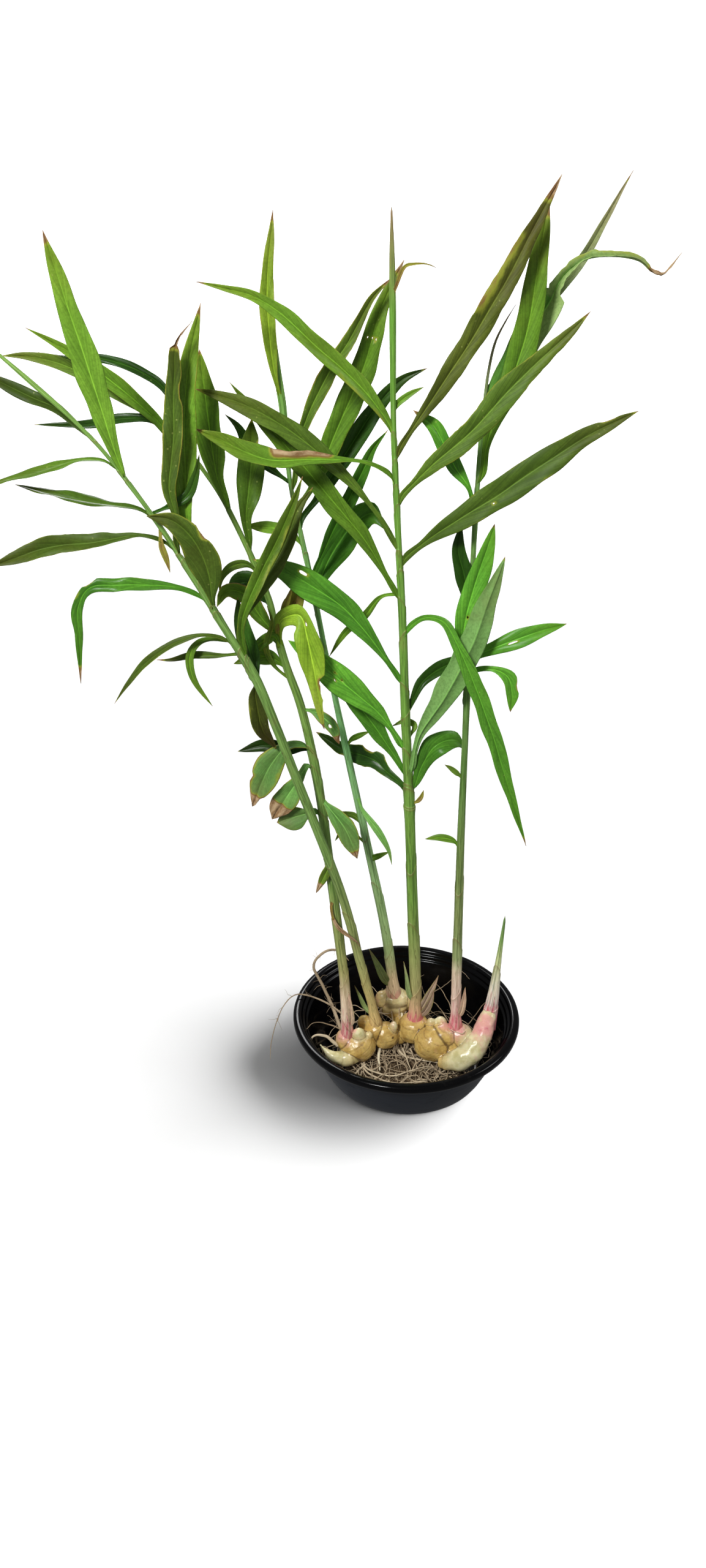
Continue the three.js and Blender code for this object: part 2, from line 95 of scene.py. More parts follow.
class Finish:
    """A material made of nodes. Its colour is built up in layers, then set on its shader."""

    def __init__(self, name, **constants):
        self.material = bpy.data.materials.new(name)
        self.material.use_nodes = True
        self.tree = self.material.node_tree
        self.shader = self.tree.nodes["Principled BSDF"]
        self.colour = None
        for socket, value in constants.items():
            self.shader.inputs[socket.replace("_", " ")].default_value = value

    def node(self, kind, settings=None, values=None, out=0):
        """Adds a node: its settings first, then its sockets' values or links."""
        made = self.tree.nodes.new(kind)
        for key, value in (settings or {}).items():
            if key == "stops":
                ramp = made.color_ramp.elements
                while len(ramp) < len(value):
                    ramp.new(1.0)
                for element, (place, colour) in zip(ramp, value):
                    element.position = place
                    element.color = (*colour, 1.0)
            else:
                setattr(made, key, value)
        pairs = enumerate(values) if isinstance(values, list) else (values or {}).items()
        for key, value in pairs:
            if isinstance(value, Value):
                self.tree.links.new(value.socket, made.inputs[key])
            elif value is not None:
                made.inputs[key].default_value = value
        return Value(self, made.outputs[out])

    def stored(self, name):
        """A number kept on the mesh's points."""
        return self.node("ShaderNodeAttribute", {"attribute_name": name}, None, "Fac")

    def place(self):
        return self.node("ShaderNodeTexCoord", {}, None, "Object")

    def stretched(self, x, y, z):
        """The place on the object, in metres, multiplied along each axis."""
        settings = {"operation": "MULTIPLY"}
        return self.node("ShaderNodeVectorMath", settings, [self.place(), (x, y, z)])

    def joined(self, x, y, z):
        return self.node("ShaderNodeCombineXYZ", {}, [x, y, z])

    def grain(self, scale, detail=3.0, roughness=0.55, where=None):
        """Soft noise over the place on the object, or over another place given."""
        where = where or self.place()
        values = {"Vector": where, "Scale": scale, "Detail": detail, "Roughness": roughness}
        return self.node("ShaderNodeTexNoise", {}, values)

    def blend(self, amount, first, second):
        """A colour that goes from first to second as amount goes from 0 to 1."""
        made = self.tree.nodes.new("ShaderNodeMix")
        made.data_type = "RGBA"
        for key, value in (("Factor_Float", amount), ("A_Color", first), ("B_Color", second)):
            socket = next(s for s in made.inputs if s.identifier == key)
            if isinstance(value, Value):
                self.tree.links.new(value.socket, socket)
            else:
                socket.default_value = (*value, 1.0) if isinstance(value, tuple) else value
        return Value(self, next(s for s in made.outputs if s.identifier == "Result_Color"))

    def base(self, amount, first, second):
        """Starts the colour as a blend of two."""
        self.colour = self.blend(amount, first, second)

    def lay(self, amount, colour):
        """Lays a colour over those that are there already."""
        self.base(amount, self.colour, colour)

    def set(self, **links):
        for socket, value in links.items():
            self.tree.links.new(value.socket, self.shader.inputs[socket.replace("_", " ")])

    def bump(self, height, depth, strength):
        values = {"Height": height, "Distance": depth, "Strength": strength}
        self.set(Normal=self.node("ShaderNodeBump", {}, values))


def piece(name, points, faces, finish, cad_nodes=(), stored=None):
    """A smooth mesh, from points in mm, that rides with the plant and stands for CAD nodes."""
    mesh = bpy.data.meshes.new(name)
    mesh.from_pydata((np.asarray(points) * MM).tolist(), [], [tuple(f) for f in faces])
    mesh.shade_smooth()
    for key, numbers in (stored or {}).items():
        layer = mesh.attributes.new(key, "FLOAT", "POINT")
        layer.data.foreach_set("value", np.asarray(numbers, np.float32).ravel())
    mesh.materials.append(finish.material)
    mesh.update()
    made = bpy.data.objects.new(name, mesh)
    bpy.context.scene.collection.objects.link(made)
    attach(made, "root")
    if cad_nodes:
        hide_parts(*cad_nodes)


def turned(outline, turns, oval=0.0):
    """Rings of points: radii and heights turned round the upright axis, more oval higher up."""
    angles = np.linspace(0, 2 * math.pi, turns, endpoint=False)
    rings = []
    for radius, height in outline:
        reach = radius + oval * height * np.sin(2 * angles + 0.6)
        rings += zip(reach * np.cos(angles), reach * np.sin(angles), [height] * turns)
    return rings


def loops_to_faces(rows, around, far_end=True):
    """Faces that skin rows of closed loops, each with a centre point to close an end. The
    points are listed loop by loop, then the near centre, then the far centre."""
    faces = []
    for low in range(0, (rows - 1) * around, around):
        for k in range(around):
            n = (k + 1) % around
            faces.append((low + k, low + n, low + around + n, low + around + k))
    near, last = rows * around, (rows - 1) * around
    for k in range(around):
        n = (k + 1) % around
        faces.append((n, k, near))
        if far_end:
            faces.append((last + k, last + n, near + 1))
    return faces


BOWL_TURNS = 144
OVAL = 0.25 / 66  # how far the soft wall strays from a circle, for each mm of height
OUTER_ROWS = 15  # rows of the outline from the underside to the outside of the lip
bowl_outline = [  # radius, height in mm, from the middle of the underside round to the floor
    (0, 1.2), (66, 1.2), (68, 0.2), (69, 0), (75, 0), (77, 0.3), (79.2, 1.4), (81.2, 3.4),
    (84.5, 9), (90, 21), (95.4, 33), (100.6, 45), (104.4, 54.2), (105.2, 56), (106.4, 56.9),
    (110.6, 57.3), (112.4, 57.9), (113.6, 59.1), (114, 60.6), (114, 63), (113.5, 64.6),
    (112.2, 65.6), (110.4, 66), (107.6, 65.9), (106.3, 65.4), (105.4, 64), (105, 62.3),
    (104.4, 61.2), (103, 60.7), (102.2, 60), (101.8, 58.4), (101.5, 57), (100.6, 56.3),
    (99.6, 55.9), (99, 54.6), (97, 50), (92.4, 39.6), (87.4, 28), (82.8, 17), (79.8, 9),
    (77.6, 4.8), (75.4, 2.9), (72, 2.4), (40, 2.4), (0, 2.4),
]
under, *bowl_rows, inside = bowl_outline
outer = np.arange(len(bowl_rows)) < OUTER_ROWS

black = Finish("black_plastic", Specular_IOR_Level=0.13, IOR=1.46)
dust = black.grain(60.0, 5.0, 0.7).step(0.56, 0.8)
scuff = black.grain(38.0, 4.0, 0.6, black.stretched(1.0, 1.0, 7.0)).step(0.5, 0.75)
outside = black.stored("outside")
# Painted light: one black plastic in two colours, near black inside the bowl as painted shade and a
# lighter blue-grey outside as painted sheen.
black.base(outside, (0.0012, 0.0012, 0.0015), (0.011, 0.0145, 0.0215))
black.lay(dust * 0.2, (0.03, 0.027, 0.023))
black.lay(scuff * outside * 0.25, (0.02, 0.023, 0.029))
black.set(Base_Color=black.colour, Roughness=0.13 + outside * 0.33 + scuff * 0.08 + dust * 0.22)
black.bump(black.grain(700.0, 2.0), 0.00006, 0.35)
piece(
    "bowl_shell", [*turned(bowl_rows, BOWL_TURNS, OVAL), (0, 0, under[1]), (0, 0, inside[1])],
    loops_to_faces(len(bowl_rows), BOWL_TURNS), black, ["bowl"],
    {"outside": [*np.repeat(outer, BOWL_TURNS), 1.0, 0.0]},
)

# ---- The rhizome --------------------------------------------------------------------------
# The ginger root: a chain of fused knobs with thin tan skin, ringed by the scars of old
# scale leaves, with two pale fingers of this year's growth that blush pink at their ends.

SKIN_VOXEL = 1.15 * MM
FINGER_ROWS, FINGER_SIDES = 40, 24
RING_DEPTH, RING_SHOULDER = 0.24, 0.14
CREASE_WIDTH = 0.13  # of a knob's radius, where two knobs meet
RING_WANDER = 0.096  # how far rings stray, over their spacing

# centre, half-widths, growth direction, ring spacing (all in mm), how cream and how pink
knobs = [
    ((-49, -28.5, 43.5), (18, 15.5, 15.5), (-0.4, -0.2, 0.9), 6.5, 0.1, 0.0),
    ((-62, -27, 51), (9, 10, 10.5), (-0.3, 0.0, 1.0), 4.5, 0.45, 0.1),
    ((-48.5, -29.5, 58.5), (7, 6.5, 7.5), (0.1, -0.2, 1.0), 3.0, 0.9, 0.25),
    ((-37.5, -27, 56.5), (3.8, 3.6, 4.6), (0.1, 0.0, 1.0), 2.6, 0.7, 0.5),
    ((-21, -16, 46.5), (13, 13, 14.5), (-0.1, -0.1, 1.0), 5.5, 0.0, 0.0),
    ((-32, -15, 51), (11, 11, 13), (-0.3, 0.0, 1.0), 4.5, 0.0, 0.0),
    ((-13, -18, 58), (5, 4.8, 7.5), (0.2, 0.0, 1.0), 2.6, 0.8, 0.3),
    ((-11, 38, 46), (16.5, 15, 16.5), (0.0, 0.0, 1.0), 5.5, 0.1, 0.0),
    ((-10, 37, 51.5), (15, 13.5, 12.5), (0.0, 0.0, 1.0), 4.0, 1.0, 0.05),
    ((-22.5, 34, 53), (8.5, 7.5, 10), (-0.4, 0.0, 1.0), 3.4, 0.35, 0.4),
    ((3.5, 37, 48), (8, 8, 10.5), (0.5, 0.0, 1.0), 4.2, 0.25, 0.1),
    ((8, -8, 50), (16.5, 16, 16.5), (0.0, -0.1, 1.0), 6.0, 0.0, 0.0),
    ((26, -28, 46), (18.5, 15.5, 18), (0.3, -0.2, 1.0), 8.0, 0.0, 0.0),
    ((36, -25, 53), (14, 13, 13.5), (0.3, 0.0, 1.0), 7.0, 0.25, 0.05),
    ((41, -25, 44), (13, 14, 14), (0.5, 0.0, 0.85), 8.0, 0.15, 0.0),
    ((52, -22, 51.5), (14.5, 13, 14), (0.1, 0.0, 1.0), 5.0, 0.7, 0.05),
    ((25, -15.5, 60.5), (5, 4.8, 7.5), (0.0, 0.1, 1.0), 2.8, 0.8, 0.32),
    ((34, -14, 61), (6.5, 6.5, 8), (0.1, 0.2, 1.0), 3.0, 0.9, 0.2),
    ((-38, -4, 40), (12, 12, 11), (-0.7, 0.7, 0.0), 7.0, 0.0, 0.0),
    ((-42, -3, 53), (7, 7, 8), (0.0, 0.0, 1.0), 3.2, 0.0, 0.0),
    ((-8, -9, 41), (9, 9, 9), (1.0, 0.0, 0.2), 4.0, 0.0, 0.0),
    ((3, 0, 36), (11, 11, 9), (0.0, 1.0, 0.1), 6.0, 0.0, 0.0),
    ((-3, 17, 28.5), (12, 20.5, 10.5), (0.0, 1.0, 0.1), 7.0, 0.0, 0.0),
]
# x, y, z, radius in mm along each finger
left_finger = [
    (-46, -33, 40, 7.5), (-52, -37, 39, 7.8), (-59, -40.5, 38, 7.8), (-67, -41, 39.5, 6.9),
    (-75, -40, 42, 5.4), (-81, -38, 46.6, 2.8), (-86.4, -36, 52.5, 0.6),
]
right_finger = [
    (32, -42, 36, 5), (41, -45.5, 38, 8.4), (52, -46.5, 42, 11), (62.5, -44, 49, 11.6),
    (70, -38, 57, 11), (75.5, -30.5, 65, 9.8), (79.5, -23, 71.5, 8.6), (82.4, -17.6, 77, 6.8),
    (83.8, -15.8, 83, 4.9), (84.4, -15.8, 88, 3.4),
]
LEFT_RINGS, RIGHT_RINGS = 52 / 9.0, 78 / 8.4  # length over ring spacing, both in mm
# brown pits where a root or a scale broke away: place and reach
pits = [((18.5, -17, 59), 1.9), ((12, -20, 58), 1.5), ((40, -38, 50), 1.6), ((-14, -26, 52), 1.3)]
# where red flushes surround the foot of a shoot: place, reach and strength
flushes = [
    ((-61, -28, 61), 19, 0.85), ((9, -8, 68), 15, 0.8), ((48, -25, 66), 20, 0.95),
    ((-12, 37, 64), 10, 0.25), ((-31, -16, 65), 7, 0.2),
]


def run_along(path):
    """How far along a path each of its points lies."""
    gaps = np.linalg.norm(np.diff(path[:, :3], axis=0), axis=1)
    return np.concatenate([[0], np.cumsum(gaps)])


def smooth_path(stations, count):
    """Evenly spaced samples of a smooth curve through stations. The first three columns are
    a place; any others, such as a radius, are carried along."""
    p = np.asarray(stations, float)
    gaps = np.linalg.norm(np.diff(p[:, :3], axis=0), axis=1) ** 0.5
    knots = np.concatenate([[0], np.cumsum(np.maximum(gaps, 1e-9))])
    slopes = np.gradient(p, knots, axis=0)
    fine = np.linspace(0, knots[-1], count * 6)
    seat = np.clip(np.searchsorted(knots, fine, side="right") - 1, 0, len(p) - 2)
    span = (knots[seat + 1] - knots[seat])[:, None]
    t = (fine - knots[seat])[:, None] / span
    dense = (
        p[seat] * (2 * t**3 - 3 * t**2 + 1)
        + slopes[seat] * span * (t**3 - 2 * t**2 + t)
        + p[seat + 1] * (3 * t**2 - 2 * t**3)
        + slopes[seat + 1] * span * (t**3 - t**2)
    )
    run = run_along(dense)
    places = np.linspace(0, run[-1], count)
    return np.stack([np.interp(places, run, column) for column in dense.T], axis=1)


def unit(v):
    return v / np.maximum(np.linalg.norm(v, axis=-1, keepdims=True), 1e-12)


def frames_along(path):
    """Two sideways directions at each point of a path, which don't spin round it."""
    along = unit(np.gradient(path[:, :3], axis=0))
    side = np.empty_like(along)
    start = np.cross(along[0], (0.0, 1.0, 0.0))
    if np.linalg.norm(start) < 0.1:
        start = np.cross(along[0], (1.0, 0.0, 0.0))
    last = unit(start)
    for row, forward in enumerate(along):
        last = unit(last - forward * last.dot(forward))
        side[row] = last
    return side, np.cross(along, side)


def tube(path, sides):
    """Points and faces of a closed round stalk; path has x, y, z and radius in one unit."""
    side, across = (way[:, None] for way in frames_along(path))
    angles = np.linspace(0, 2 * math.pi, sides, endpoint=False)[:, None]
    spokes = side * np.cos(angles) + across * np.sin(angles)
    loops = path[:, None, :3] + path[:, 3, None, None] * spokes
    points = np.concatenate([loops.reshape(-1, 3), path[[0, -1], :3]])
    return points, loops_to_faces(len(path), sides)


def lump(place, scale, seed=0.0):
    """Soft random height, about -1 to 1, at a place in mm."""
    return noise.noise(Vector(place) / scale + Vector((seed, seed * 0.7, -seed)))


def bell(x):
    """1 at nothing, falling away smoothly on both sides."""
    return np.exp(-(x**2))


blob = bmesh.new()
for centre, halves, *_ in knobs:
    made = bmesh.ops.create_icosphere(blob, subdivisions=4, radius=1.0)
    for v in made["verts"]:
        v.co = Vector([centre[i] + v.co[i] * halves[i] for i in range(3)]) * MM
for finger in (left_finger, right_finger):
    points, faces = tube(smooth_path(finger, FINGER_ROWS) * MM, FINGER_SIDES)
    made = [blob.verts.new(p) for p in points]
    for face in faces:
        blob.faces.new([made[i] for i in face])
rough = bpy.data.meshes.new("rhizome_rough")
blob.to_mesh(rough)
blob.free()
whole = bpy.data.objects.new("rhizome_rough", rough)
bpy.context.scene.collection.objects.link(whole)
remesh = whole.modifiers.new("skin", "REMESH")
remesh.mode = "VOXEL"
remesh.voxel_size = SKIN_VOXEL
soften = whole.modifiers.new("soften", "SMOOTH")
soften.iterations = 4
soften.factor = 0.6
bpy.context.view_layer.update()
skinned = whole.evaluated_get(bpy.context.evaluated_depsgraph_get()).to_mesh()
skin_points = np.array([v.co for v in skinned.vertices]) / MM
skin_normals = np.array([v.normal for v in skinned.vertices])
skin_faces = [tuple(f.vertices) for f in skinned.polygons]
whole.to_mesh_clear()
bpy.data.objects.remove(whole)
bpy.data.meshes.remove(rough)

centres, halves, growth, spacing, pale, rosy = (np.array(column, float) for column in zip(*knobs))
growth = unit(growth)
left_line, right_line = (smooth_path(f, FINGER_ROWS) for f in (left_finger, right_finger))


def near_finger(point, line):
    """How far out a point is, in finger radii, and its share of the way along the finger."""
    away = np.linalg.norm(line[:, :3] - point, axis=1)
    seat = int(np.argmin(away))
    return away[seat] / max(line[seat, 3], 1.5), seat / (len(line) - 1)


ring, fresh, blush, crease, swell = np.zeros((5, len(skin_points)))
for i, point in enumerate(skin_points):
    out = np.linalg.norm((point - centres) / halves, axis=1)
    owner = int(np.argmin(out))
    left_out, left_run = near_finger(point, left_line)
    right_out, right_run = near_finger(point, right_line)
    nearest = np.sort([*out, left_out, right_out])
    crease[i] = max(0.0, 1 - (nearest[1] - nearest[0]) / CREASE_WIDTH)
    if left_out < min(out[owner], right_out):
        turn, fresh[i] = left_run * LEFT_RINGS, 0.3 + 0.7 * left_run
    elif right_out < out[owner]:
        turn, fresh[i] = right_run * RIGHT_RINGS, 0.3 + 0.65 * min(1.0, right_run / 0.3)
        blush[i] = 0.85 * bell((right_run - 0.7) / 0.19)
    else:
        turn = (point - centres[owner]).dot(growth[owner]) / spacing[owner]
        share = bell((out - out[owner]) / 0.34)
        fresh[i], blush[i] = share.dot(pale) / share.sum(), share.dot(rosy) / share.sum()
    for spot, reach, strength in flushes:
        far = np.linalg.norm(point - spot) / reach
        blush[i] = max(blush[i], strength * max(0.0, 1 - far**1.6))
    for spot, reach in pits:
        far = np.linalg.norm((point - spot) * (1, 0.5, 1)) / reach
        crease[i] = max(crease[i], 1.3 * bell(far**2))
    across_ring = (turn + RING_WANDER * lump(point, 9.0, owner)) % 1.0
    ring[i] = bell((across_ring - 0.5) / 0.05) * (1.0 if lump(point, 7.0, 30.0) > -0.1 else 0.35)
    shoulder = bell((across_ring - 0.62) / 0.08)
    lumps = ((1.1, 13.0, 3.0), (0.5, 5.2, 5.0), (0.12, 1.9, 8.0))  # height, size in mm, seed
    swell[i] = sum(height * lump(point, size, seed) for height, size, seed in lumps)
    swell[i] += RING_SHOULDER * shoulder - RING_DEPTH * ring[i]

skin = Finish("ginger_skin", Subsurface_Weight=0.1, Subsurface_Scale=0.003)
skin.shader.inputs["Subsurface Radius"].default_value = (1.0, 0.55, 0.25)
young, pink = skin.stored("fresh"), skin.stored("blush")
mottle = skin.grain(95.0, 5.0, 0.6)
fine = skin.grain(520.0, 4.0, 0.65)
earth = skin.grain(58.0, 6.0, 0.7).step(0.56, 0.7)
wet = skin.grain(70.0, 5.0, 0.65).step(0.54, 0.66)
flecks = skin.grain(105.0, 4.0, 0.6, skin.stretched(1.0, 1.0, 0.45))
# Darker where two knobs meet, as painted shade in the creases, and at the pits, which are real brown
# scars.
crease_shade_and_pits = skin.stored("crease") + (mottle - 0.5) * 0.8
cream = skin.blend(mottle.step(0.4, 0.7), (0.64, 0.59, 0.35), (0.46, 0.41, 0.18))
skin.base(mottle.step(0.35, 0.68), (0.6, 0.42, 0.13), (0.39, 0.235, 0.055))
skin.lay(fine.step(0.5, 0.8) * 0.4, (0.24, 0.13, 0.04))
skin.lay(earth * 0.6, (0.17, 0.09, 0.032))
skin.lay((young + (mottle - 0.5) * 0.5).step(0.2, 0.75), cream)
skin.lay(wet * 0.3, (0.46, 0.33, 0.12))
skin.lay((pink * 1.5 + (flecks - 0.6) * 2.6).step(0.0, 1.1) * 0.9, (0.62, 0.28, 0.26))
skin.lay((pink * 1.4 + (flecks - 0.78) * 4.0).step(0.25, 1.1) * 0.8, (0.46, 0.06, 0.12))
skin.lay(skin.stored("ring") * (0.65 - young * 0.45), (0.2, 0.11, 0.04))
# Painted shade in the creases between knobs, with the real brown scars of the pits.
skin.lay(crease_shade_and_pits.step(0.3, 0.95) * (0.85 - young * 0.4), (0.06, 0.028, 0.01))
skin.set(Base_Color=skin.colour, Roughness=0.17 + mottle * 0.18 + earth * 0.3)
skin.bump(fine * 0.6 + mottle * 0.4, 0.0005, 0.6)
piece(
    "rhizome_knobs", skin_points + skin_normals * swell[:, None], skin_faces, skin,
    ["rhizome"], {"ring": ring, "fresh": fresh, "blush": blush, "crease": crease},
)

# ---- The roots ----------------------------------------------------------------------------
# Fine tan roots grow from the underside of the knobs and mat together with the last of the
# soil on the bowl's floor. A few thicker ones loop up over the rim, and new ones are white.

FIBRES, LOOSE_ENDS = 210, 96
FIBRE_STEP = 3.4
BOWL_FLOOR = 3.7  # where the lowest root lies
WALL_FOOT, WALL_LEAN = 74.5, 0.43  # the bowl's inside: its radius low down, and its slope
MAT_CEILING = 31.0

rng = np.random.default_rng(41)
mat_low, mat_high = (np.array(corner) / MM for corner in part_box("root_mat"))
mat_middle = (mat_low + mat_high) / 2
mat_reach = (mat_high - mat_low) / 2


def spine(node, sides):
    """The rings of points that a CAD stalk or blade is skinned over, foot first, and its tip,
    in mm. They are found by walking away from the tip one ring at a time."""
    shape = bmesh.new()
    shape.from_mesh(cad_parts[node].data)
    bmesh.ops.remove_doubles(shape, verts=shape.verts, dist=1e-5)
    shape.verts.index_update()
    for tip in shape.verts:
        if len(tip.link_edges) != sides:
            continue
        seen, layer, rings = {tip.index}, [tip], []
        while layer:
            near = {e.other_vert(v).index: e.other_vert(v) for v in layer for e in v.link_edges}
            layer = [near[i] for i in sorted(near) if i not in seen]
            seen.update(near)
            if layer:
                rings.append(np.array([v.co for v in layer]) / MM)
        if len(rings) > 2 and all(len(ring) == sides for ring in rings):
            end = np.array(tip.co) / MM
            shape.free()
            return rings[::-1], end
    raise ValueError("no rings found in " + node)


def stalk_path(node, sides):
    """The middle line and radius of a CAD stalk, as x, y, z, radius in mm."""
    rings, tip = spine(node, sides)
    rows = []
    for ring in rings:
        centre = ring.mean(axis=0)
        rows.append([*centre, np.linalg.norm(ring - centre, axis=1).mean()])
    return np.array([*rows, [*tip, rows[-1][3] * 0.35]])


def wander(start, heading, steps, curl, sag):
    """A root's path: it keeps its heading, with slow random turns, stays in the bowl and,
    in front of the knobs, below the top of the mat."""
    path, heading = [np.array(start, float)], unit(np.array(heading, float))
    bend = rng.normal(size=3)
    for _ in range(steps):
        bend = 0.72 * bend + rng.normal(size=3) * curl
        heading = unit(heading + 0.32 * bend + np.array((0, 0, -sag)))
        spot = path[-1] + heading * FIBRE_STEP
        wall = WALL_FOOT + WALL_LEAN * max(spot[2], 0)
        out = math.hypot(spot[0], spot[1])
        if out > wall:
            spot[:2] *= wall / out
            heading[:2] = unit(heading[:2] - spot[:2] / wall)
        if spot[2] < BOWL_FLOOR:
            spot[2] = BOWL_FLOOR + 1.5 * rng.random()
            heading[2] = abs(heading[2]) * 0.3
        top = MAT_CEILING + 14 * max(0.0, spot[1] + 12) / 30
        if spot[2] > top:
            spot[2], heading[2] = top, -abs(heading[2]) * 0.3
        path.append(spot)
    return np.array(path)


def tubes(runs, sides):
    """One set of points and faces for several tapering tubes, with a shade for each."""
    points, faces, shade = [], [], []
    for path, radius, tone in runs:
        taper = radius * (1 - 0.75 * np.linspace(0, 1, len(path)) ** 1.4)
        made, skin_of = tube(np.column_stack([path, taper]), sides)
        faces += [tuple(len(shade) + i for i in face) for face in skin_of]
        points.append(made)
        shade += [tone] * len(made)
    return np.concatenate(points), faces, shade


fibre = Finish("root_fibre", Specular_IOR_Level=0.25)
tone = fibre.stored("tone")
patch = fibre.grain(140.0, 4.0, 0.6)
fibre.base(tone, (0.17, 0.12, 0.07), (0.44, 0.345, 0.225))
fibre.lay(patch.step(0.45, 0.72) * 0.5, (0.09, 0.055, 0.03))
fibre.lay((tone - 1.0).held(), (0.78, 0.7, 0.5))
fibre.set(Base_Color=fibre.colour, Roughness=0.62 + patch * 0.25)
fibre.bump(fibre.grain(1400.0, 3.0), 0.00015, 0.7)

soil = Finish("root_mat_soil", Specular_IOR_Level=0.12)
crumb = soil.grain(330.0, 6.0, 0.7)
strand = soil.grain(520.0, 4.0, 0.6, soil.stretched(1.0, 0.25, 1.0))
cross = soil.grain(520.0, 4.0, 0.6, soil.stretched(0.25, 1.0, 1.0))
weave = strand.step(0.5, 0.62).most(cross.step(0.52, 0.64))
soil.base(crumb.step(0.35, 0.7), (0.03, 0.019, 0.011), (0.13, 0.085, 0.048))
soil.lay(weave * 0.7, (0.26, 0.185, 0.105))
soil.set(Base_Color=soil.colour, Roughness=0.8 + crumb * 0.2)
soil.bump(weave + crumb, 0.0011, 0.9)

MOUND_ROWS, MOUND_TURNS = 36, 96
MOUND_HEIGHT = 0.62 * (mat_high[2] - mat_low[2])
mound = []
for row in range(MOUND_ROWS):
    share = 1 - row / MOUND_ROWS
    for k in range(MOUND_TURNS):
        a = 2 * math.pi * k / MOUND_TURNS
        edge = 1 + 0.07 * lump((60 * math.cos(a), 60 * math.sin(a), 0), 14.0, 2.0)
        x = mat_middle[0] + mat_reach[0] * share * edge * 0.97 * math.cos(a)
        y = mat_middle[1] + mat_reach[1] * share * edge * 0.97 * math.sin(a)
        clods = 2.4 * lump((x, y, 0), 9.0, 4.0) + 1.5 * lump((x, y, 0), 3.2, 6.0) + 1.5
        rise = MOUND_HEIGHT * (1 - share**2.6) + min(1.0, 6 * (1 - share)) * clods
        mound.append((x, y, mat_low[2] + max(rise, 0.25)))
mound += [(*mat_middle[:2], mat_low[2]), (*mat_middle[:2], mound[-1][2] + 0.4)]
piece("root_mat_core", mound, loops_to_faces(MOUND_ROWS, MOUND_TURNS), soil,
      ["root_mat"])

runs = []
for _ in range(FIBRES):
    seat = int(rng.integers(len(knobs)))
    a, lean = rng.uniform(0, 2 * math.pi), rng.uniform(-0.2, 1.0)
    foot = (0.7 * math.cos(a), 0.7 * math.sin(a), -0.55 - 0.35 * rng.random())
    steps = int(rng.integers(13, 34))
    heading = (math.cos(a), math.sin(a) - 0.35, -lean)
    path = wander(centres[seat] + halves[seat] * foot, heading, steps, curl=0.55, sag=0.09)
    runs.append((smooth_path(path, steps * 2), rng.uniform(0.28, 0.72), rng.uniform(0.25, 1.1)))
for _ in range(LOOSE_ENDS):  # they lie over the mat towards the front
    start = (rng.uniform(-52, 42), rng.uniform(-62, -36), rng.uniform(15, 25))
    a = rng.uniform(0, 2 * math.pi)
    path = wander(start, (math.cos(a), math.sin(a) * 0.6, 0.12), 16, curl=0.8, sag=0.05)
    runs.append((smooth_path(path, 34), rng.uniform(0.35, 0.8), rng.uniform(0.7, 1.3)))
points, faces, shade = tubes(runs, 6)
piece("root_fibres", points, faces, fibre, (), {"tone": shade})

# the thick ones: new white roots, a hooked one at the left and a red-brown one at the front,
# each with its radius and how pale it is
thick = [
    ([(-69, -29, 44), (-78, -27, 53), (-88, -27, 57), (-95, -30, 55), (-93, -32, 49)], 1.9, 1.3),
    ([(-10, -16, 32), (-2, -27, 30), (12, -33, 30), (29, -36, 30), (41, -41, 29), (47, -51, 27)],
     1.2, 1.3),
    ([(-27, -20, 34), (-28, -34, 31), (-27, -46, 27)], 1.8, 1.75),
    ([(-3, -20, 33), (0, -32, 31), (4, -46, 28)], 1.1, 1.25),
    ([(4, -20, 33), (8, -34, 31), (12, -49, 28)], 0.9, 1.1),
    ([(-48, -36, 30), (-34, -49, 29), (-14, -55, 29), (4, -49, 30), (22, -43, 30), (33, -44, 28)],
     0.95, 1.2),
    ([(-40, -30, 31), (-43, -43, 28), (-29, -56, 27), (-8, -63, 26), (10, -61, 27), (27, -57, 26)],
     1.0, 1.15),
    ([(-41, -40, 30), (-52, -52, 27), (-50, -62, 22)], 1.1, 1.2),
    ([(24, -40, 30), (33, -50, 28), (44, -58, 27), (40, -66, 24)], 0.8, 0.9),
    ([(58, -28, 62), (54, -34, 64), (48, -34, 66), (42, -30, 66), (38, -24, 64)], 0.5, 1.2),
    ([(-4, 27, 40), (-3, 20, 44), (-4, 14, 40), (-5, 10, 34)], 1.3, 1.7),
    ([(60, -12, 52), (71, 2, 58), (80, 8, 68), (92, 12, 72)], 0.6, 0.2),
    ([(48, -6, 50), (46, 12, 60), (38, 26, 70), (30, 34, 76)], 0.7, 0.45),
    ([(44, 2, 50), (34, 16, 58), (22, 26, 62), (18, 34, 70)], 0.6, 0.6),
    ([(-62, -14, 50), (-80, -10, 57), (-92, -14, 62), (-101, -22, 60)], 0.8, 0.3),
]
runs = []
for stations, radius, paleness in thick:
    path = smooth_path(stations, 46)
    for spot in path[1:]:
        spot += 0.9 * np.array([lump(spot, 8.0, 20 + 7 * axis) for axis in range(3)])
    runs.append((path, radius, paleness))
points, faces, shade = tubes(runs, 10)
piece("root_thick", points, faces, fibre, (), {"tone": shade})

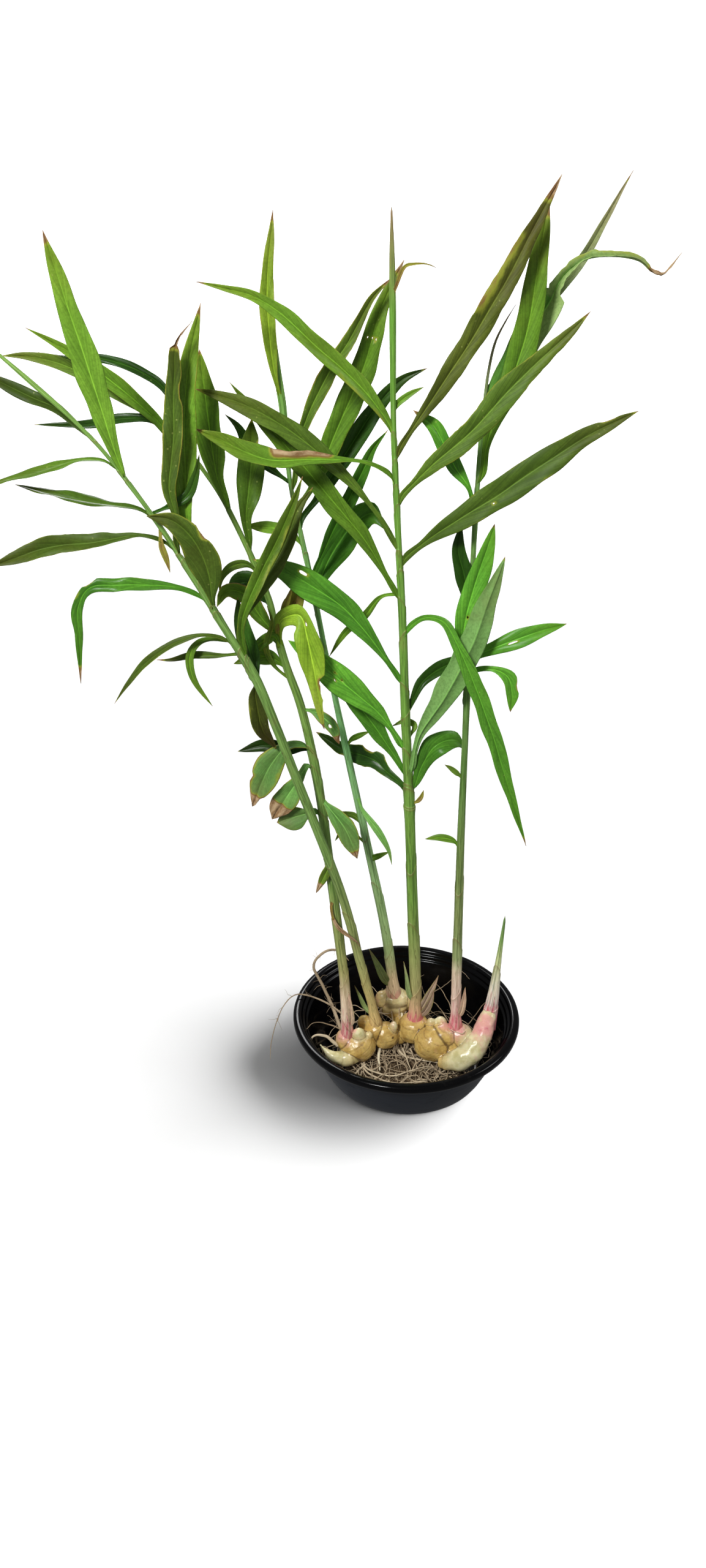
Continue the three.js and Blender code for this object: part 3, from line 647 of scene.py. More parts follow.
ROOT_SIDES = 8
ROOTLET_STEPS, ROOTLET_RADIUS = 6, 0.22
for node, rootlets, paleness, thinned in (("root_loop", 26, 0.62, 0.85), ("root_long", 12, 0.5, 0.65)):
    main = smooth_path(stalk_path(node, ROOT_SIDES), 130) * (1, 1, 1, thinned)
    runs = []
    for _ in range(rootlets):
        path = [main[int(rng.integers(10, 118)), :3]]
        a = rng.uniform(0, 2 * math.pi)
        heading = np.array((math.cos(a), math.sin(a), rng.uniform(-0.7, 0.5)))
        for _ in range(ROOTLET_STEPS):
            heading = unit(heading + rng.normal(size=3) * 0.35)
            path.append(path[-1] + heading * rng.uniform(1.2, 2.6))
        runs.append((smooth_path(path, 14), ROOTLET_RADIUS, paleness * 0.8))
    bare, faces = tube(main, 12)
    swollen = 0.12 * np.array([lump(p, 2.6, 9.0) for p in bare])[:, None]
    bare = bare + swollen * unit(bare - bare.mean(axis=0))
    small, more, shade = tubes(runs, 5)
    faces += [tuple(len(bare) + i for i in face) for face in more]
    piece(node + "_strand", [*bare, *small], faces, fibre, [node],
          {"tone": [paleness] * len(bare) + shade})

# ---- The shoots ---------------------------------------------------------------------------
# Each shoot is a false stem: leaf sheaths rolled tightly round one another, with a slanting
# mouth under every blade. They are pink and cream at the foot and green further up.

STEM_SIDES, LEAF_SIDES = 10, 4  # of the CAD's stalks and blades
STEM_TURNS = 24
ROW_GAP = 3.0
SHEATH_STEP, STEP_FADE = 0.5, 26  # how thick a sheath's mouth is, and over what length it thins
LIP_FADE = 1.5
WAIST_REACH, FLARE_REACH, TIP_REACH = 55, 20, 120
THINNEST = 0.25
BLADE_MOUTH, BARE_MOUTH = (14.0, 22), (24.0, 36)  # how far a mouth slants, and over what length
SEAM_TOP, SEAM_WIDTH = 96, 0.16  # the height where a seam ends, and its width in radians
RED = (0.58, 0.12, 0.16)

# mouths: heights where a sheath opens without a blade; waist: how far a shoot is drawn in
# above its foot; flare: how far its foot spreads; thinned and thick_tip: its thickness over
# the CAD's; seam: whether its outer sheath's edge shows; flushed: how high its red goes, and
# the colour; stops: colours up the shoot as (share of its length, colour)
shoots = {
    "pink": dict(mouths=[36, 92, 150], flare=0.12, seam=True, stops=[
        (0.0, (0.66, 0.36, 0.27)), (0.04, (0.76, 0.54, 0.41)), (0.09, (0.72, 0.5, 0.34)),
        (0.135, (0.31, 0.29, 0.1)), (0.3, (0.15, 0.26, 0.055)), (1.0, (0.14, 0.26, 0.035))]),
    "leaning": dict(mouths=[30, 88, 160, 236], flare=0.42, thinned=0.88,
                    flushed=(26, (0.3, 0.17, 0.06)), stops=[
        (0.0, (0.62, 0.4, 0.16)), (0.05, (0.54, 0.41, 0.16)), (0.12, (0.33, 0.34, 0.12)),
        (0.3, (0.15, 0.26, 0.06)), (0.8, (0.15, 0.3, 0.055)), (1.0, (0.19, 0.34, 0.06))]),
    "slim": dict(mouths=[24, 78, 150, 220], waist=0.08, flare=0.2,
                 flushed=(22, (0.6, 0.3, 0.22)), stops=[
        (0.0, (0.68, 0.46, 0.3)), (0.04, (0.58, 0.44, 0.26)), (0.09, (0.3, 0.42, 0.17)),
        (0.4, (0.15, 0.36, 0.13)), (0.85, (0.14, 0.3, 0.05)), (1.0, (0.17, 0.11, 0.03))]),
    "tall": dict(mouths=[20, 62, 128, 205], waist=0.18, flare=0.16, thick_tip=1.2,
                 flushed=(34, RED), stops=[
        (0.0, (0.56, 0.22, 0.16)), (0.03, (0.54, 0.34, 0.19)), (0.07, (0.33, 0.31, 0.12)),
        (0.2, (0.14, 0.27, 0.04)), (0.9, (0.12, 0.29, 0.03)), (1.0, (0.24, 0.14, 0.07))]),
    "right": dict(mouths=[26, 70, 122, 190], flare=0.35, seam=True, stops=[
        (0.0, (0.62, 0.28, 0.26)), (0.05, (0.74, 0.46, 0.39)), (0.11, (0.72, 0.52, 0.38)),
        (0.14, (0.25, 0.3, 0.12)), (0.2, (0.2, 0.24, 0.08)), (0.4, (0.09, 0.18, 0.035)),
        (0.86, (0.13, 0.26, 0.06)), (0.93, (0.2, 0.19, 0.11)), (1.0, (0.24, 0.17, 0.11))]),
    "spear": dict(mouths=[18, 46, 84], waist=-0.22, stops=[
        (0.0, (0.72, 0.38, 0.38)), (0.22, (0.82, 0.64, 0.55)), (0.4, (0.82, 0.72, 0.5)),
        (0.58, (0.6, 0.66, 0.3)), (0.78, (0.2, 0.34, 0.09)), (1.0, (0.1, 0.2, 0.05))]),
}
leaf_nodes = sorted(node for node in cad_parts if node.startswith("leaf_"))
stem_lines = {}


def stem_finish(name, stops, flushed):
    """Sheath skin: its own colours up the shoot, with streaks, scars and a red-flushed foot."""
    stem = Finish(name, Specular_IOR_Level=0.25)
    up, reach = stem.stored("up"), stem.stored("reach")

    def bark(scale, round_it, along_it, roughness, detail=4.0):
        """Grain that is stretched along the shoot."""
        x, y = stem.stored("turn_x") * round_it, stem.stored("turn_y") * round_it
        return stem.grain(scale, detail, roughness, stem.joined(x, y, reach * along_it))

    lines, broad = bark(3.4, 5.0, 0.02, 0.65), bark(2.2, 1.3, 0.012, 0.55, 3.0)
    flush, nick = bark(1.6, 2.0, 0.05, 0.6), bark(1.5, 2.2, 0.045, 0.7)
    cloud = stem.grain(34.0, 4.0, 0.6)
    green_part = up.step(0.08, 0.2)
    near_foot = 1 - reach.step(8.0, float(flushed[0]))
    pale_stops = [(at, tuple(min(0.85, c * 1.5 + 0.02) for c in colour)) for at, colour in stops]
    wavering = {"Fac": (up + (cloud - 0.5) * 0.05).held()}
    stem.colour = stem.node("ShaderNodeValToRGB", {"stops": stops}, wavering)
    # Painted highlight and shade: the fine streaks are the sheath's own veins, drawn with extra contrast
    # as painted highlight and shade. The broad pale and dark streaks on the green part are painted
    # highlight and painted shade.
    stem.lay(lines.step(0.45, 0.62) * 0.75,
             stem.node("ShaderNodeValToRGB", {"stops": pale_stops}, {"Fac": up}))
    stem.lay((1 - lines.step(0.32, 0.47)) * 0.5, (0.05, 0.1, 0.014))
    stem.lay((1 - broad.step(0.36, 0.54)) * green_part * 0.6, (0.035, 0.075, 0.012))
    stem.lay(broad.step(0.55, 0.72) * green_part * 0.4, (0.27, 0.42, 0.13))
    stem.lay(cloud.step(0.58, 0.76) * 0.25, (0.24, 0.16, 0.06))
    stem.lay((near_foot * 1.5 + (flush - 0.68) * 3.6).step(0.1, 1.1) * 0.88, flushed[1])
    stem.lay(nick.step(0.62, 0.67) * 0.85, (0.07, 0.04, 0.015))
    stem.lay((stem.stored("lip") * (0.4 + cloud)).held() * 0.8, (0.16, 0.1, 0.035))
    stem.set(Base_Color=stem.colour, Roughness=0.34 + lines * 0.22)
    stem.bump(lines, 0.0002, 0.6)
    return stem


def nearest_row(line, spot):
    return int(np.argmin(np.linalg.norm(line[:, :3] - spot, axis=1)))


def shoot(name, seed, mouths, stops, waist=0.27, flare=0.0, thinned=1.0, thick_tip=0.0,
          seam=False, flushed=(66, RED)):
    """One shoot, skinned along its CAD stalk's middle line."""
    line = smooth_path(stalk_path("stem_" + name, STEM_SIDES), 900)
    run = run_along(line)
    stem_lines[name] = (line, run)
    long = run[-1]
    side, across = frames_along(line)

    openings = []  # how high each is, which way it faces, how far it slants and over what length
    for node in leaf_nodes:
        if node.startswith("leaf_" + name):
            base = spine(node, LEAF_SIDES)[0][0].mean(axis=0)
            seat = nearest_row(line, base)
            away = base - line[seat, :3]
            facing = math.atan2(away.dot(across[seat]), away.dot(side[seat]))
            openings.append((run[seat], facing, *BLADE_MOUTH))
    for k, height in enumerate(mouths):
        openings.append((height, math.pi * (k % 2) + 0.4 * k, *BARE_MOUTH))
    openings.sort()

    levels = list(np.arange(0, long - 2, ROW_GAP))
    for height, *_ in openings:
        levels += [height - 1.2, height - 0.05, height + 0.05, height + 1.2]
    levels = np.array(sorted(v for v in levels if 0 <= v < long - 1))
    angles = np.linspace(0, 2 * math.pi, STEM_TURNS, endpoint=False)
    v, a = np.meshgrid(levels, angles, indexing="ij")
    slant, thickness, lip = np.zeros((3, *v.shape))
    for height, facing, drop, length in openings:
        slant -= drop * (1 - np.cos(a - facing)) / 2 * bell((v - height) / length)
        below = np.maximum(height - v, 0)
        thickness += (below > 0) * SHEATH_STEP * np.exp(-below / STEP_FADE)
        lip = np.maximum(lip, (below > 0) * np.exp(-below / LIP_FADE))
    if seam:  # the edge of the outer sheath wanders down the front
        off_seam = a - math.pi / 2 - 0.5 * np.sin(v / 26)
        lip = np.maximum(lip, 0.8 * bell(off_seam / SEAM_WIDTH) * (v < SEAM_TOP))
    at = np.clip(v + slant, 0, long)
    centre, u1, u2 = (np.stack([np.interp(at, run, column) for column in way.T], axis=-1)
                      for way in (line[:, :3], side, across))
    radius = np.interp(at, run, line[:, 3]) * thinned
    radius *= 1 + thick_tip * bell((long - at) / TIP_REACH)
    radius *= 1 - waist * bell(at / WAIST_REACH) + flare * bell(at / FLARE_REACH)
    ribs = 0.05 * np.cos(9 * a + 0.4 * np.sin(at / 60)) + 0.06 * np.sin(at / 23 + seed)
    radius += thickness * np.minimum(1, radius / 3) + ribs * np.minimum(1, radius / 4) - THINNEST
    radius = np.maximum(radius, THINNEST)[..., None]
    skin_at = centre + radius * (np.cos(a)[..., None] * u1 + np.sin(a)[..., None] * u2)
    stored = {"up": at / long, "reach": at, "turn_x": np.cos(a), "turn_y": np.sin(a), "lip": lip}
    piece("shoot_" + name, [*skin_at.reshape(-1, 3), *line[[0, -1], :3]],
          loops_to_faces(len(levels), STEM_TURNS), stem_finish("stem_" + name, stops, flushed),
          ["stem_" + name],
          {key: np.append(grid.ravel(), [0.0, 1.0]) for key, grid in stored.items()})


for seed, (name, shape) in enumerate(shoots.items()):
    shoot(name, seed, **shape)


# ---- The leaves ---------------------------------------------------------------------------
# Each blade is a long strap folded along a sunken midrib, with fine veins that leave it at a
# slant. Old ones have brown rims, dry curled tips and holes that insects have chewed.

BLADE_SKIN = 0.36  # thickness of a blade
KEEL, FURROW = 0.45, 0.3  # how far the midrib stands out below, and its groove above
ARCH = 0.13  # rise of each half, over its width
NARROWEST = 0.16  # half width
RUFFLE_LENGTHS = (46, 84)  # along an edge, from one wave to the next
SWAY = 1.6  # how far a blade strays from its line
CRUSH = 2.4  # how high a withered blade crumples
HOLE_RIM = 0.3  # width of the brown rim round a hole
VEIN_SHIFT = 300  # sets the veins of one blade apart from the next one's
HALF_COLUMNS = (0.035, 0.11, 0.25, 0.42, 0.6, 0.78, 0.93, 1)  # places from midrib to edge
COLUMNS = np.array([*(-c for c in HALF_COLUMNS[::-1]), *HALF_COLUMNS])
VEIN_SLANT = 0.2
BLADE_ROW = 2.9
HOLD_BELOW, GRIP = 9.0, 2.2  # how far down its stem a blade takes hold, and how widely
SMALL_ROWS = 16
SMALL_FOLD = 0.16  # how deep a small blade is folded, over its width
SHORTEST_FOOT = 2.4  # width of a small blade where it starts


def times(factor, colour):
    return tuple(factor * c for c in colour)


def leaf_finish(name, deep, fresh, under, warm, gloss):
    """A leaf's skin: deep and fresh greens in streaks along the veins, a paler underside."""
    leaf = Finish(name, Specular_IOR_Level=0.15)
    run, out, share, back, spent, tone = (
        leaf.stored(key) for key in ("run", "out", "share", "back", "spent", "tone"))
    slanted = out.size() - run * VEIN_SLANT
    veins = leaf.grain(1.0, 3.0, 0.6, leaf.joined(slanted * 1.15, run * 0.012, tone * 9.0))
    wide = leaf.grain(1.0, 3.0, 0.5, leaf.joined(slanted * 0.22, run * 0.01, tone * 5.0))
    ragged = leaf.grain(1.0, 5.0, 0.7, leaf.joined(out * 0.18, run * 0.06, tone * 3.0))
    cloud = leaf.grain(26.0, 4.0, 0.6)
    grit = leaf.grain(420.0, 3.0, 0.7)
    rib = (1 - out.size().step(0.12, 0.75)) * (1 - share.step(0.5, 1.0))
    bruise = leaf.grain(11.0, 5.0, 0.65).step(0.5, 0.64) * share
    spots = leaf.node("ShaderNodeTexVoronoi", {}, {"Vector": leaf.place(), "Scale": 170.0})
    worn = spent + (ragged - 0.5) * 0.7
    leaf.base((wide * 0.9 + cloud * 1.3 + tone * 0.5 - 0.8).held(), deep, fresh)
    leaf.lay(veins.step(0.46, 0.75) * 0.26, times(1.5, fresh))
    leaf.lay((1 - veins.step(0.3, 0.55)) * 0.34, times(0.5, deep))
    leaf.lay(share.step(0.6, 1.0) * 0.5, warm)
    leaf.lay(back * 0.85, leaf.blend(veins, under, times(1.3, under)))
    leaf.lay((1 - grit.step(0.3, 0.62)) * 0.4, times(0.35, fresh))
    leaf.lay(rib * 0.42, times(2.1, fresh))
    leaf.lay(bruise * 0.5, times(0.7, warm))
    # Painted shade: the stored shade darkens a whole blade towards near black, for the shade it lies in as
    # well as for its own darker green.
    leaf.base(leaf.stored("shade"), times(0.06, deep), leaf.colour)
    leaf.lay(spots.step(0.16, 0.05) * cloud.step(0.5, 0.62) * 0.5, (0.34, 0.38, 0.1))
    leaf.lay(worn.step(0.16, 0.42) * 0.8, (0.27, 0.3, 0.03))
    leaf.lay(worn.step(0.36, 0.56), (0.2, 0.12, 0.035))
    dry = leaf.blend(ragged.step(0.35, 0.65), (0.42, 0.3, 0.17), (0.17, 0.085, 0.03))
    leaf.lay(worn.step(0.6, 0.85), dry)
    rough = gloss + back * 0.16 + worn.held() * 0.25 + veins * 0.1
    leaf.set(Base_Color=leaf.colour, Roughness=rough)
    leaf.bump(veins * 0.6 + wide * 0.6, 0.00028, 0.7)
    return leaf


# each tone's deep green, fresh green, underside, warm tip and roughness
tones = {
    "green": ((0.07, 0.15, 0.014), (0.16, 0.34, 0.026), (0.2, 0.33, 0.05), (0.14, 0.16, 0.012), 0.34),
    "vivid": ((0.035, 0.16, 0.014), (0.15, 0.44, 0.038), (0.24, 0.46, 0.13), (0.11, 0.28, 0.015), 0.26),
    "lime": ((0.085, 0.2, 0.016), (0.19, 0.38, 0.034), (0.24, 0.38, 0.05), (0.17, 0.2, 0.014), 0.34),
    # painted shade: the dark tone is a near-black green for blades that lie in deep shade
    "dark": ((0.012, 0.04, 0.005), (0.04, 0.12, 0.012), (0.06, 0.13, 0.03), (0.04, 0.06, 0.008), 0.28),
    "olive": ((0.06, 0.115, 0.012), (0.15, 0.27, 0.028), (0.19, 0.28, 0.045), (0.14, 0.11, 0.016), 0.46),
    "umber": ((0.042, 0.056, 0.008), (0.135, 0.175, 0.02), (0.16, 0.18, 0.035), (0.09, 0.05, 0.013), 0.42),
    "yellow": ((0.15, 0.29, 0.016), (0.34, 0.52, 0.04), (0.28, 0.42, 0.05), (0.4, 0.4, 0.07), 0.4),
    "grey": ((0.075, 0.19, 0.036), (0.165, 0.37, 0.08), (0.18, 0.35, 0.095), (0.22, 0.26, 0.08), 0.45),
    "window": ((0.08, 0.2, 0.03), (0.17, 0.43, 0.07), (0.27, 0.37, 0.13), (0.3, 0.3, 0.1), 0.36),
    "bud": ((0.16, 0.24, 0.07), (0.34, 0.42, 0.17), (0.36, 0.42, 0.2), (0.4, 0.22, 0.14), 0.4),
    "dry": ((0.12, 0.07, 0.02), (0.28, 0.18, 0.06), (0.3, 0.2, 0.08), (0.22, 0.12, 0.04), 0.6),
    "sheath": ((0.4, 0.26, 0.17), (0.66, 0.5, 0.34), (0.62, 0.4, 0.3), (0.62, 0.3, 0.22), 0.5),
}
finishes = {tone: leaf_finish("leaf_" + tone, *colours) for tone, colours in tones.items()}
slots = {tone: "leaf_" + tone for tone in ("green", "dark", "olive", "yellow", "grey")}
slots |= dict.fromkeys(("vivid", "lime", "window"), "leaf_green")
slots |= dict.fromkeys(("umber", "dry"), "leaf_olive")
slots |= dict.fromkeys(("bud", "sheath"), "stem_green")


def blade_rows(stem, height, width, stations, belly=0.48, turn=(70, 80)):
    """Rows for a blade that the CAD leaves out: middle, half width and rise of its edges.
    belly is where it is widest, and turn how its face leans at its foot and at its tip."""
    line, _ = stem_lines[stem]
    seat = int(np.argmin(np.abs(line[:, 2] - height)))
    away = unit(stations[0] - line[seat, :3])
    path = smooth_path([line[seat, :3] + away * line[seat, 3] * 0.8, *stations], SMALL_ROWS)
    along = unit(np.gradient(path, axis=0))
    skew = math.log(0.5) / math.log(belly)
    rows = []
    for k, (spot, forward) in enumerate(zip(path, along)):
        u = k / (SMALL_ROWS - 1)
        a = math.radians(turn[0] + (turn[1] - turn[0]) * u)
        across = unit(np.cross(forward, (0, -math.sin(a), math.cos(a))))
        rise = np.cross(across, forward)
        swell = math.sin(math.pi * u**skew) ** (1.4 if u < belly else 1)
        full = max(width * swell, SHORTEST_FOOT * (1 - 0.8 * u))
        rows.append([*spot, *(across * full / 2), *(rise * max(SMALL_FOLD * full, 0.4))])
    rows[-1][3:] = [0] * 6
    return np.array(rows)


def cad_rows(node, stem):
    """The same rows, read from a CAD blade and carried back onto its stem."""
    rings, tip = spine(node, LEAF_SIDES)
    pairs = [((0, 1), (2, 3)), ((0, 2), (1, 3)), ((0, 3), (1, 2))]
    pairs += [pair[::-1] for pair in pairs]

    def split(ring, guide):
        """A ring's edges and midrib points: the edges lie most nearly along the guide."""
        def lean(pair):
            reach = ring[pair[0][1]] - ring[pair[0][0]]
            return np.linalg.norm(reach) if guide is None else abs(reach.dot(guide))

        edges, midrib = max(pairs, key=lean)
        a, b = ring[edges[0]], ring[edges[1]]
        if guide is not None and (b - a).dot(guide) < 0:
            a, b = b, a
        return a, b, (ring[midrib[0]] + ring[midrib[1]]) / 2

    start = int(np.argmax([np.linalg.norm(ring[1:] - ring[0], axis=1).max() for ring in rings]))
    found = {start: split(rings[start], None)}
    for order, beside in ((range(start + 1, len(rings)), -1), (range(start - 1, -1, -1), 1)):
        for k in order:
            left, right, _ = found[k + beside]
            found[k] = split(rings[k], unit(right - left))
    rows = []
    for k in range(len(rings)):
        left, right, middle = found[k]
        rows.append([*middle, *((right - left) / 2), *((left + right) / 2 - middle)])
    line, run = stem_lines[stem]
    base = np.array(rows[0][:3])
    nearest = nearest_row(line, base)
    seat = int(np.searchsorted(run, max(run[nearest] - HOLD_BELOW, 0.0)))
    ahead = line[min(seat + 4, len(line) - 1), :3] - line[seat, :3]
    outward = unit(base - line[nearest, :3])
    hold = line[seat, :3] + outward * line[seat, 3] * 0.72
    grip = unit(np.cross(unit(ahead), outward)) * min(GRIP, line[seat, 3] * 0.6)
    if grip.dot(rows[0][3:6]) < 0:
        grip = -grip
    return np.array([[*hold, *grip, *(-outward * 0.6)], *rows, [*tip, *[0.0] * 6]])


def waver(run, size, *seeds):
    """Soft random numbers along a blade, which change over a given length."""
    return np.array([noise.noise(Vector((r / size, *seeds))) for r in run])


def edges_of(run, share, length, draw, seed, wave, rim, notches, keep):
    """How wide each half of a blade is, over its proper width, and how high its edge waves:
    slow swells first, then bites and narrowed stretches."""
    phase = draw.uniform(0, 2 * math.pi, 6)
    wave_length = draw.uniform(*RUFFLE_LENGTHS)
    width, ruffle = np.ones((len(run), len(COLUMNS))), np.zeros((len(run), len(COLUMNS)))
    for side, p in ((-1, phase[0]), (1, phase[1])):
        jag = waver(run, 4.2, side * 7.0, seed * 1.7)
        left = 1 + 0.24 * waver(run, 27.0, side * 5.0, seed * 2.3) + 0.05 * jag * (rim > 0.35)
        for where, on, depth, span in notches:
            if on == side:
                bite = bell(((run - where * length) / span) ** 2)
                left -= depth * (0.75 + 0.5 * np.abs(jag)) * bite
        for first, last, on, most in keep:
            if on == side:
                inside = (share > first) & (share < last)
                left = np.where(inside, np.minimum(left, most + 0.2 * jag), left)
        width[:, COLUMNS * side > 0] = np.maximum(left, 0.06)[:, None]
        swing = np.sin(2 * math.pi * run / wave_length + p)
        swing += 0.4 * np.sin(2 * math.pi * run / (wave_length * 0.43) + p * 2.3)
        swing *= 0.6 + 0.9 * np.sin(2 * math.pi * run / 131.0 + p * 1.7) ** 2
        ruffle += wave * swing[:, None] * (COLUMNS * side > 0) * np.abs(COLUMNS) ** 2.2
    return width, ruffle


def chew(hole, lost, centre, run_of, out, along, across, seed):
    """Opens one hole: whole cells go, and the points round them move onto a ragged oval. hole
    has its place up the blade and beside the midrib, its length and its width, all in mm."""
    up_blade, beside, tall, wide = hole
    cell_run = (run_of[:-1, :-1] + run_of[1:, 1:]) / 2
    cell_out = (out[:-1, :-1] + out[1:, 1:]) / 2
    far = ((cell_run - up_blade) / tall) ** 2 + ((cell_out - beside) / wide) ** 2
    gone = far < 1
    gone[np.unravel_index(int(np.argmin(far)), far.shape)] = True
    gone[:, 0] = gone[:, -1] = False
    lost |= gone
    for r, c in {(r + i, c + j) for r, c in np.argwhere(gone) for i in (0, 1) for j in (0, 1)}:
        if gone[max(r - 1, 0):r + 1, max(c - 1, 0):c + 1].all():
            continue
        gap = np.array([run_of[r, c] - up_blade, out[r, c] - beside])
        size = math.hypot(gap[0] / tall, gap[1] / wide) or 1.0
        jag = 1 + 0.12 * math.sin(3 * math.atan2(gap[1], gap[0]) + seed)
        shift = gap * (jag / size - 1)
        centre[r, c] += along[r] * shift[0] + across[r] * shift[1]
        run_of[r, c] += shift[0]
        out[r, c] += shift[1]


def blade_faces(lost, top, low):
    """Faces of a blade's upper and lower skins, joined round its outline and its holes. top
    and low number the skins' points, and lost marks the cells that are gone."""
    rows, columns = lost.shape
    faces = []
    for r, c in np.argwhere(~lost):
        corners = ((r, c), (r, c + 1), (r + 1, c + 1), (r + 1, c))
        faces.append([top[corner] for corner in corners])
        faces.append([low[corners[k]] for k in (0, 3, 2, 1)])
        for k, (i, j) in enumerate(((r - 1, c), (r, c + 1), (r + 1, c), (r, c - 1))):
            if 0 <= i < rows and 0 <= j < columns and lost[i, j]:
                a, b = corners[k], corners[(k + 1) % 4]
                faces.append([top[b], top[a], low[a], low[b]])
    for r, way in ((0, 1), (rows, -1)):  # close the foot and the tip
        for c in range(columns):
            face = (top[r, c], low[r, c], low[r, c + 1], top[r, c + 1])
            faces.append(list(dict.fromkeys(face[::way])))
    return faces


def blade(name, rows, tone, cad=(), seed=0, wave=0.9, crumple=0.0, rim=0.12, dry=0.96,
          spent=0.0, full=1.1, turned=0, turned_after=2.0, shade=1.0, holes=(), notches=(),
          keep=(), scorch=()):
    """One blade as a thin closed skin. rim browns the edges, everything beyond the share dry
    is withered, holes are (share, side, length, width), notches are (share, side, depth,
    length) bites in an edge, and keep narrows one side between two shares. scorch withers
    one side's edge between two shares. full is how much fuller than the CAD blade it is, and
    turned shows the pale underside on one side, where that half is folded over, and beyond
    the share turned_after both halves show it. shade below 1 is a darker blade."""
    draw = np.random.default_rng(1000 + seed)
    length = run_along(rows)[-1]
    count = max(26, int(length / BLADE_ROW))
    fine = smooth_path(rows, count)
    run = run_along(fine)
    share = run / length
    along = unit(np.gradient(fine[:, :3], axis=0))
    half = np.linalg.norm(fine[:, 3:6], axis=1)
    peak = half.max()
    half = np.maximum(peak * full * (half / peak) ** 0.84, NARROWEST)
    across = unit(fine[:, 3:6])
    across[-1] = across[-2]  # the tip has no width of its own
    rise = fine[:, 6:9] * (half / (half + 0.2))[:, None]
    up = unit(np.cross(across, along))
    up *= np.sign((up * fine[:, 6:9]).sum() or 1)
    v = COLUMNS
    width, ruffle = edges_of(run, share, length, draw, seed, wave, rim, notches, keep)
    out = v * half[:, None] * width

    # how far each point stands off the blade's own plane
    thin = np.minimum(1, half / 3)[:, None]
    ruffle *= (np.minimum(1, half / 5) * np.sin(math.pi * np.clip(share, 0, 1)) ** 0.5)[:, None]
    arch = ARCH * half[:, None] * np.sin(math.pi * np.abs(v))
    withered = np.clip((share - dry) / 0.06, 0, 1)[:, None]
    heap = np.stack([waver(run, 6.5, w * 2.2, seed * 0.9) for w in v], axis=1)
    raised = ruffle + arch - FURROW * bell(v / 0.09) * thin
    raised += heap * (crumple * 0.5 + CRUSH * withered) * thin
    sway = np.stack([waver(run, 34.0, seed * 2.1, axis * 9.0) for axis in range(3)], axis=1)
    ease = (np.clip(share * 5, 0, 1) * (0.4 + crumple * 0.6))[:, None]
    centre = (
        (fine[:, :3] + SWAY * sway * ease)[:, None]
        + across[:, None] * out[..., None]
        + rise[:, None] * (np.abs(v) ** 1.25)[:, None]
        + up[:, None] * raised[..., None]
    )

    lost = np.zeros((count - 1, len(v) - 1), bool)
    run_of = np.repeat(run[:, None], len(v), axis=1)
    holes = [(where * length, side * np.interp(where, share, half), tall, wide)
             for where, side, tall, wide in holes]
    for hole in holes:
        chew(hole, lost, centre, run_of, out, along, across, seed)

    # two skins, which meet along the edges
    normal = unit(np.cross(np.gradient(centre, axis=1), np.gradient(centre, axis=0)))
    normal *= np.sign((normal * up[:, None]).sum(axis=2, keepdims=True))
    full_at = np.minimum(1, half / 4)[:, None, None]
    skin = 0.5 * BLADE_SKIN * (0.55 + 0.45 * full_at)
    keel = KEEL * bell(v / 0.07)[:, None] * full_at
    edges = np.abs(v) == 1
    top, low = centre + normal * skin, centre - normal * (skin + keel)
    top[:, edges] = centre[:, edges]
    top_id = np.arange(out.size).reshape(out.shape)
    low_id = top_id + out.size
    low_id[:, edges] = top_id[:, edges]
    faces = blade_faces(lost, top_id, low_id)
    if (np.cross(along, across) * up).sum() > 0:
        faces = [face[::-1] for face in faces]

    # how withered each point is: the rim, the tip, round each hole, scorched edges and bites
    rim_of = np.abs(v) ** 7 * rim * (0.6 + 0.9 * draw.random())
    worn = spent + rim_of + 1.1 * withered
    for up_blade, beside, tall, wide in holes:
        far = np.hypot((run_of - up_blade) / (tall + HOLE_RIM), (out - beside) / (wide + HOLE_RIM))
        worn = np.maximum(worn, 0.42 * np.clip(1.25 - far, 0, 0.25) * 4)
    for first, last, side, worst in scorch:
        along_it = np.clip((share - first) / 0.04, 0, 1) * np.clip((last - share) / 0.04, 0, 1)
        over_it = np.clip(v * side * 1.4, 0, 1) ** 0.8
        worn = np.maximum(worn, worst * along_it[:, None] * over_it)
    for where, side, _, span in notches:
        near = np.clip(1.5 - np.abs(run_of - where * length) / span, 0, 1)
        worn = np.maximum(worn, 0.7 * near * (v * side > 0.2) * np.abs(v) ** 3)

    tint = draw.random()
    folded = (v * turned > 0) | (share[:, None] > turned_after)
    ones = np.ones_like(out)
    upper = {"run": run_of + VEIN_SHIFT * tint, "out": out, "share": share[:, None] * ones,
             "spent": worn, "tone": tint * ones, "shade": shade * ones}
    stored = {key: (grid, grid) for key, grid in upper.items()} | {"back": (folded, ones)}
    used, numbers = np.unique(np.concatenate(faces), return_inverse=True)
    ends = np.cumsum([len(face) for face in faces])[:-1]
    points = np.concatenate([top.reshape(-1, 3), low.reshape(-1, 3)])[used]
    piece(name, points, [face.tolist() for face in np.split(numbers, ends)], finishes[tone],
          cad, {key: np.ravel(both)[used] for key, both in stored.items()})


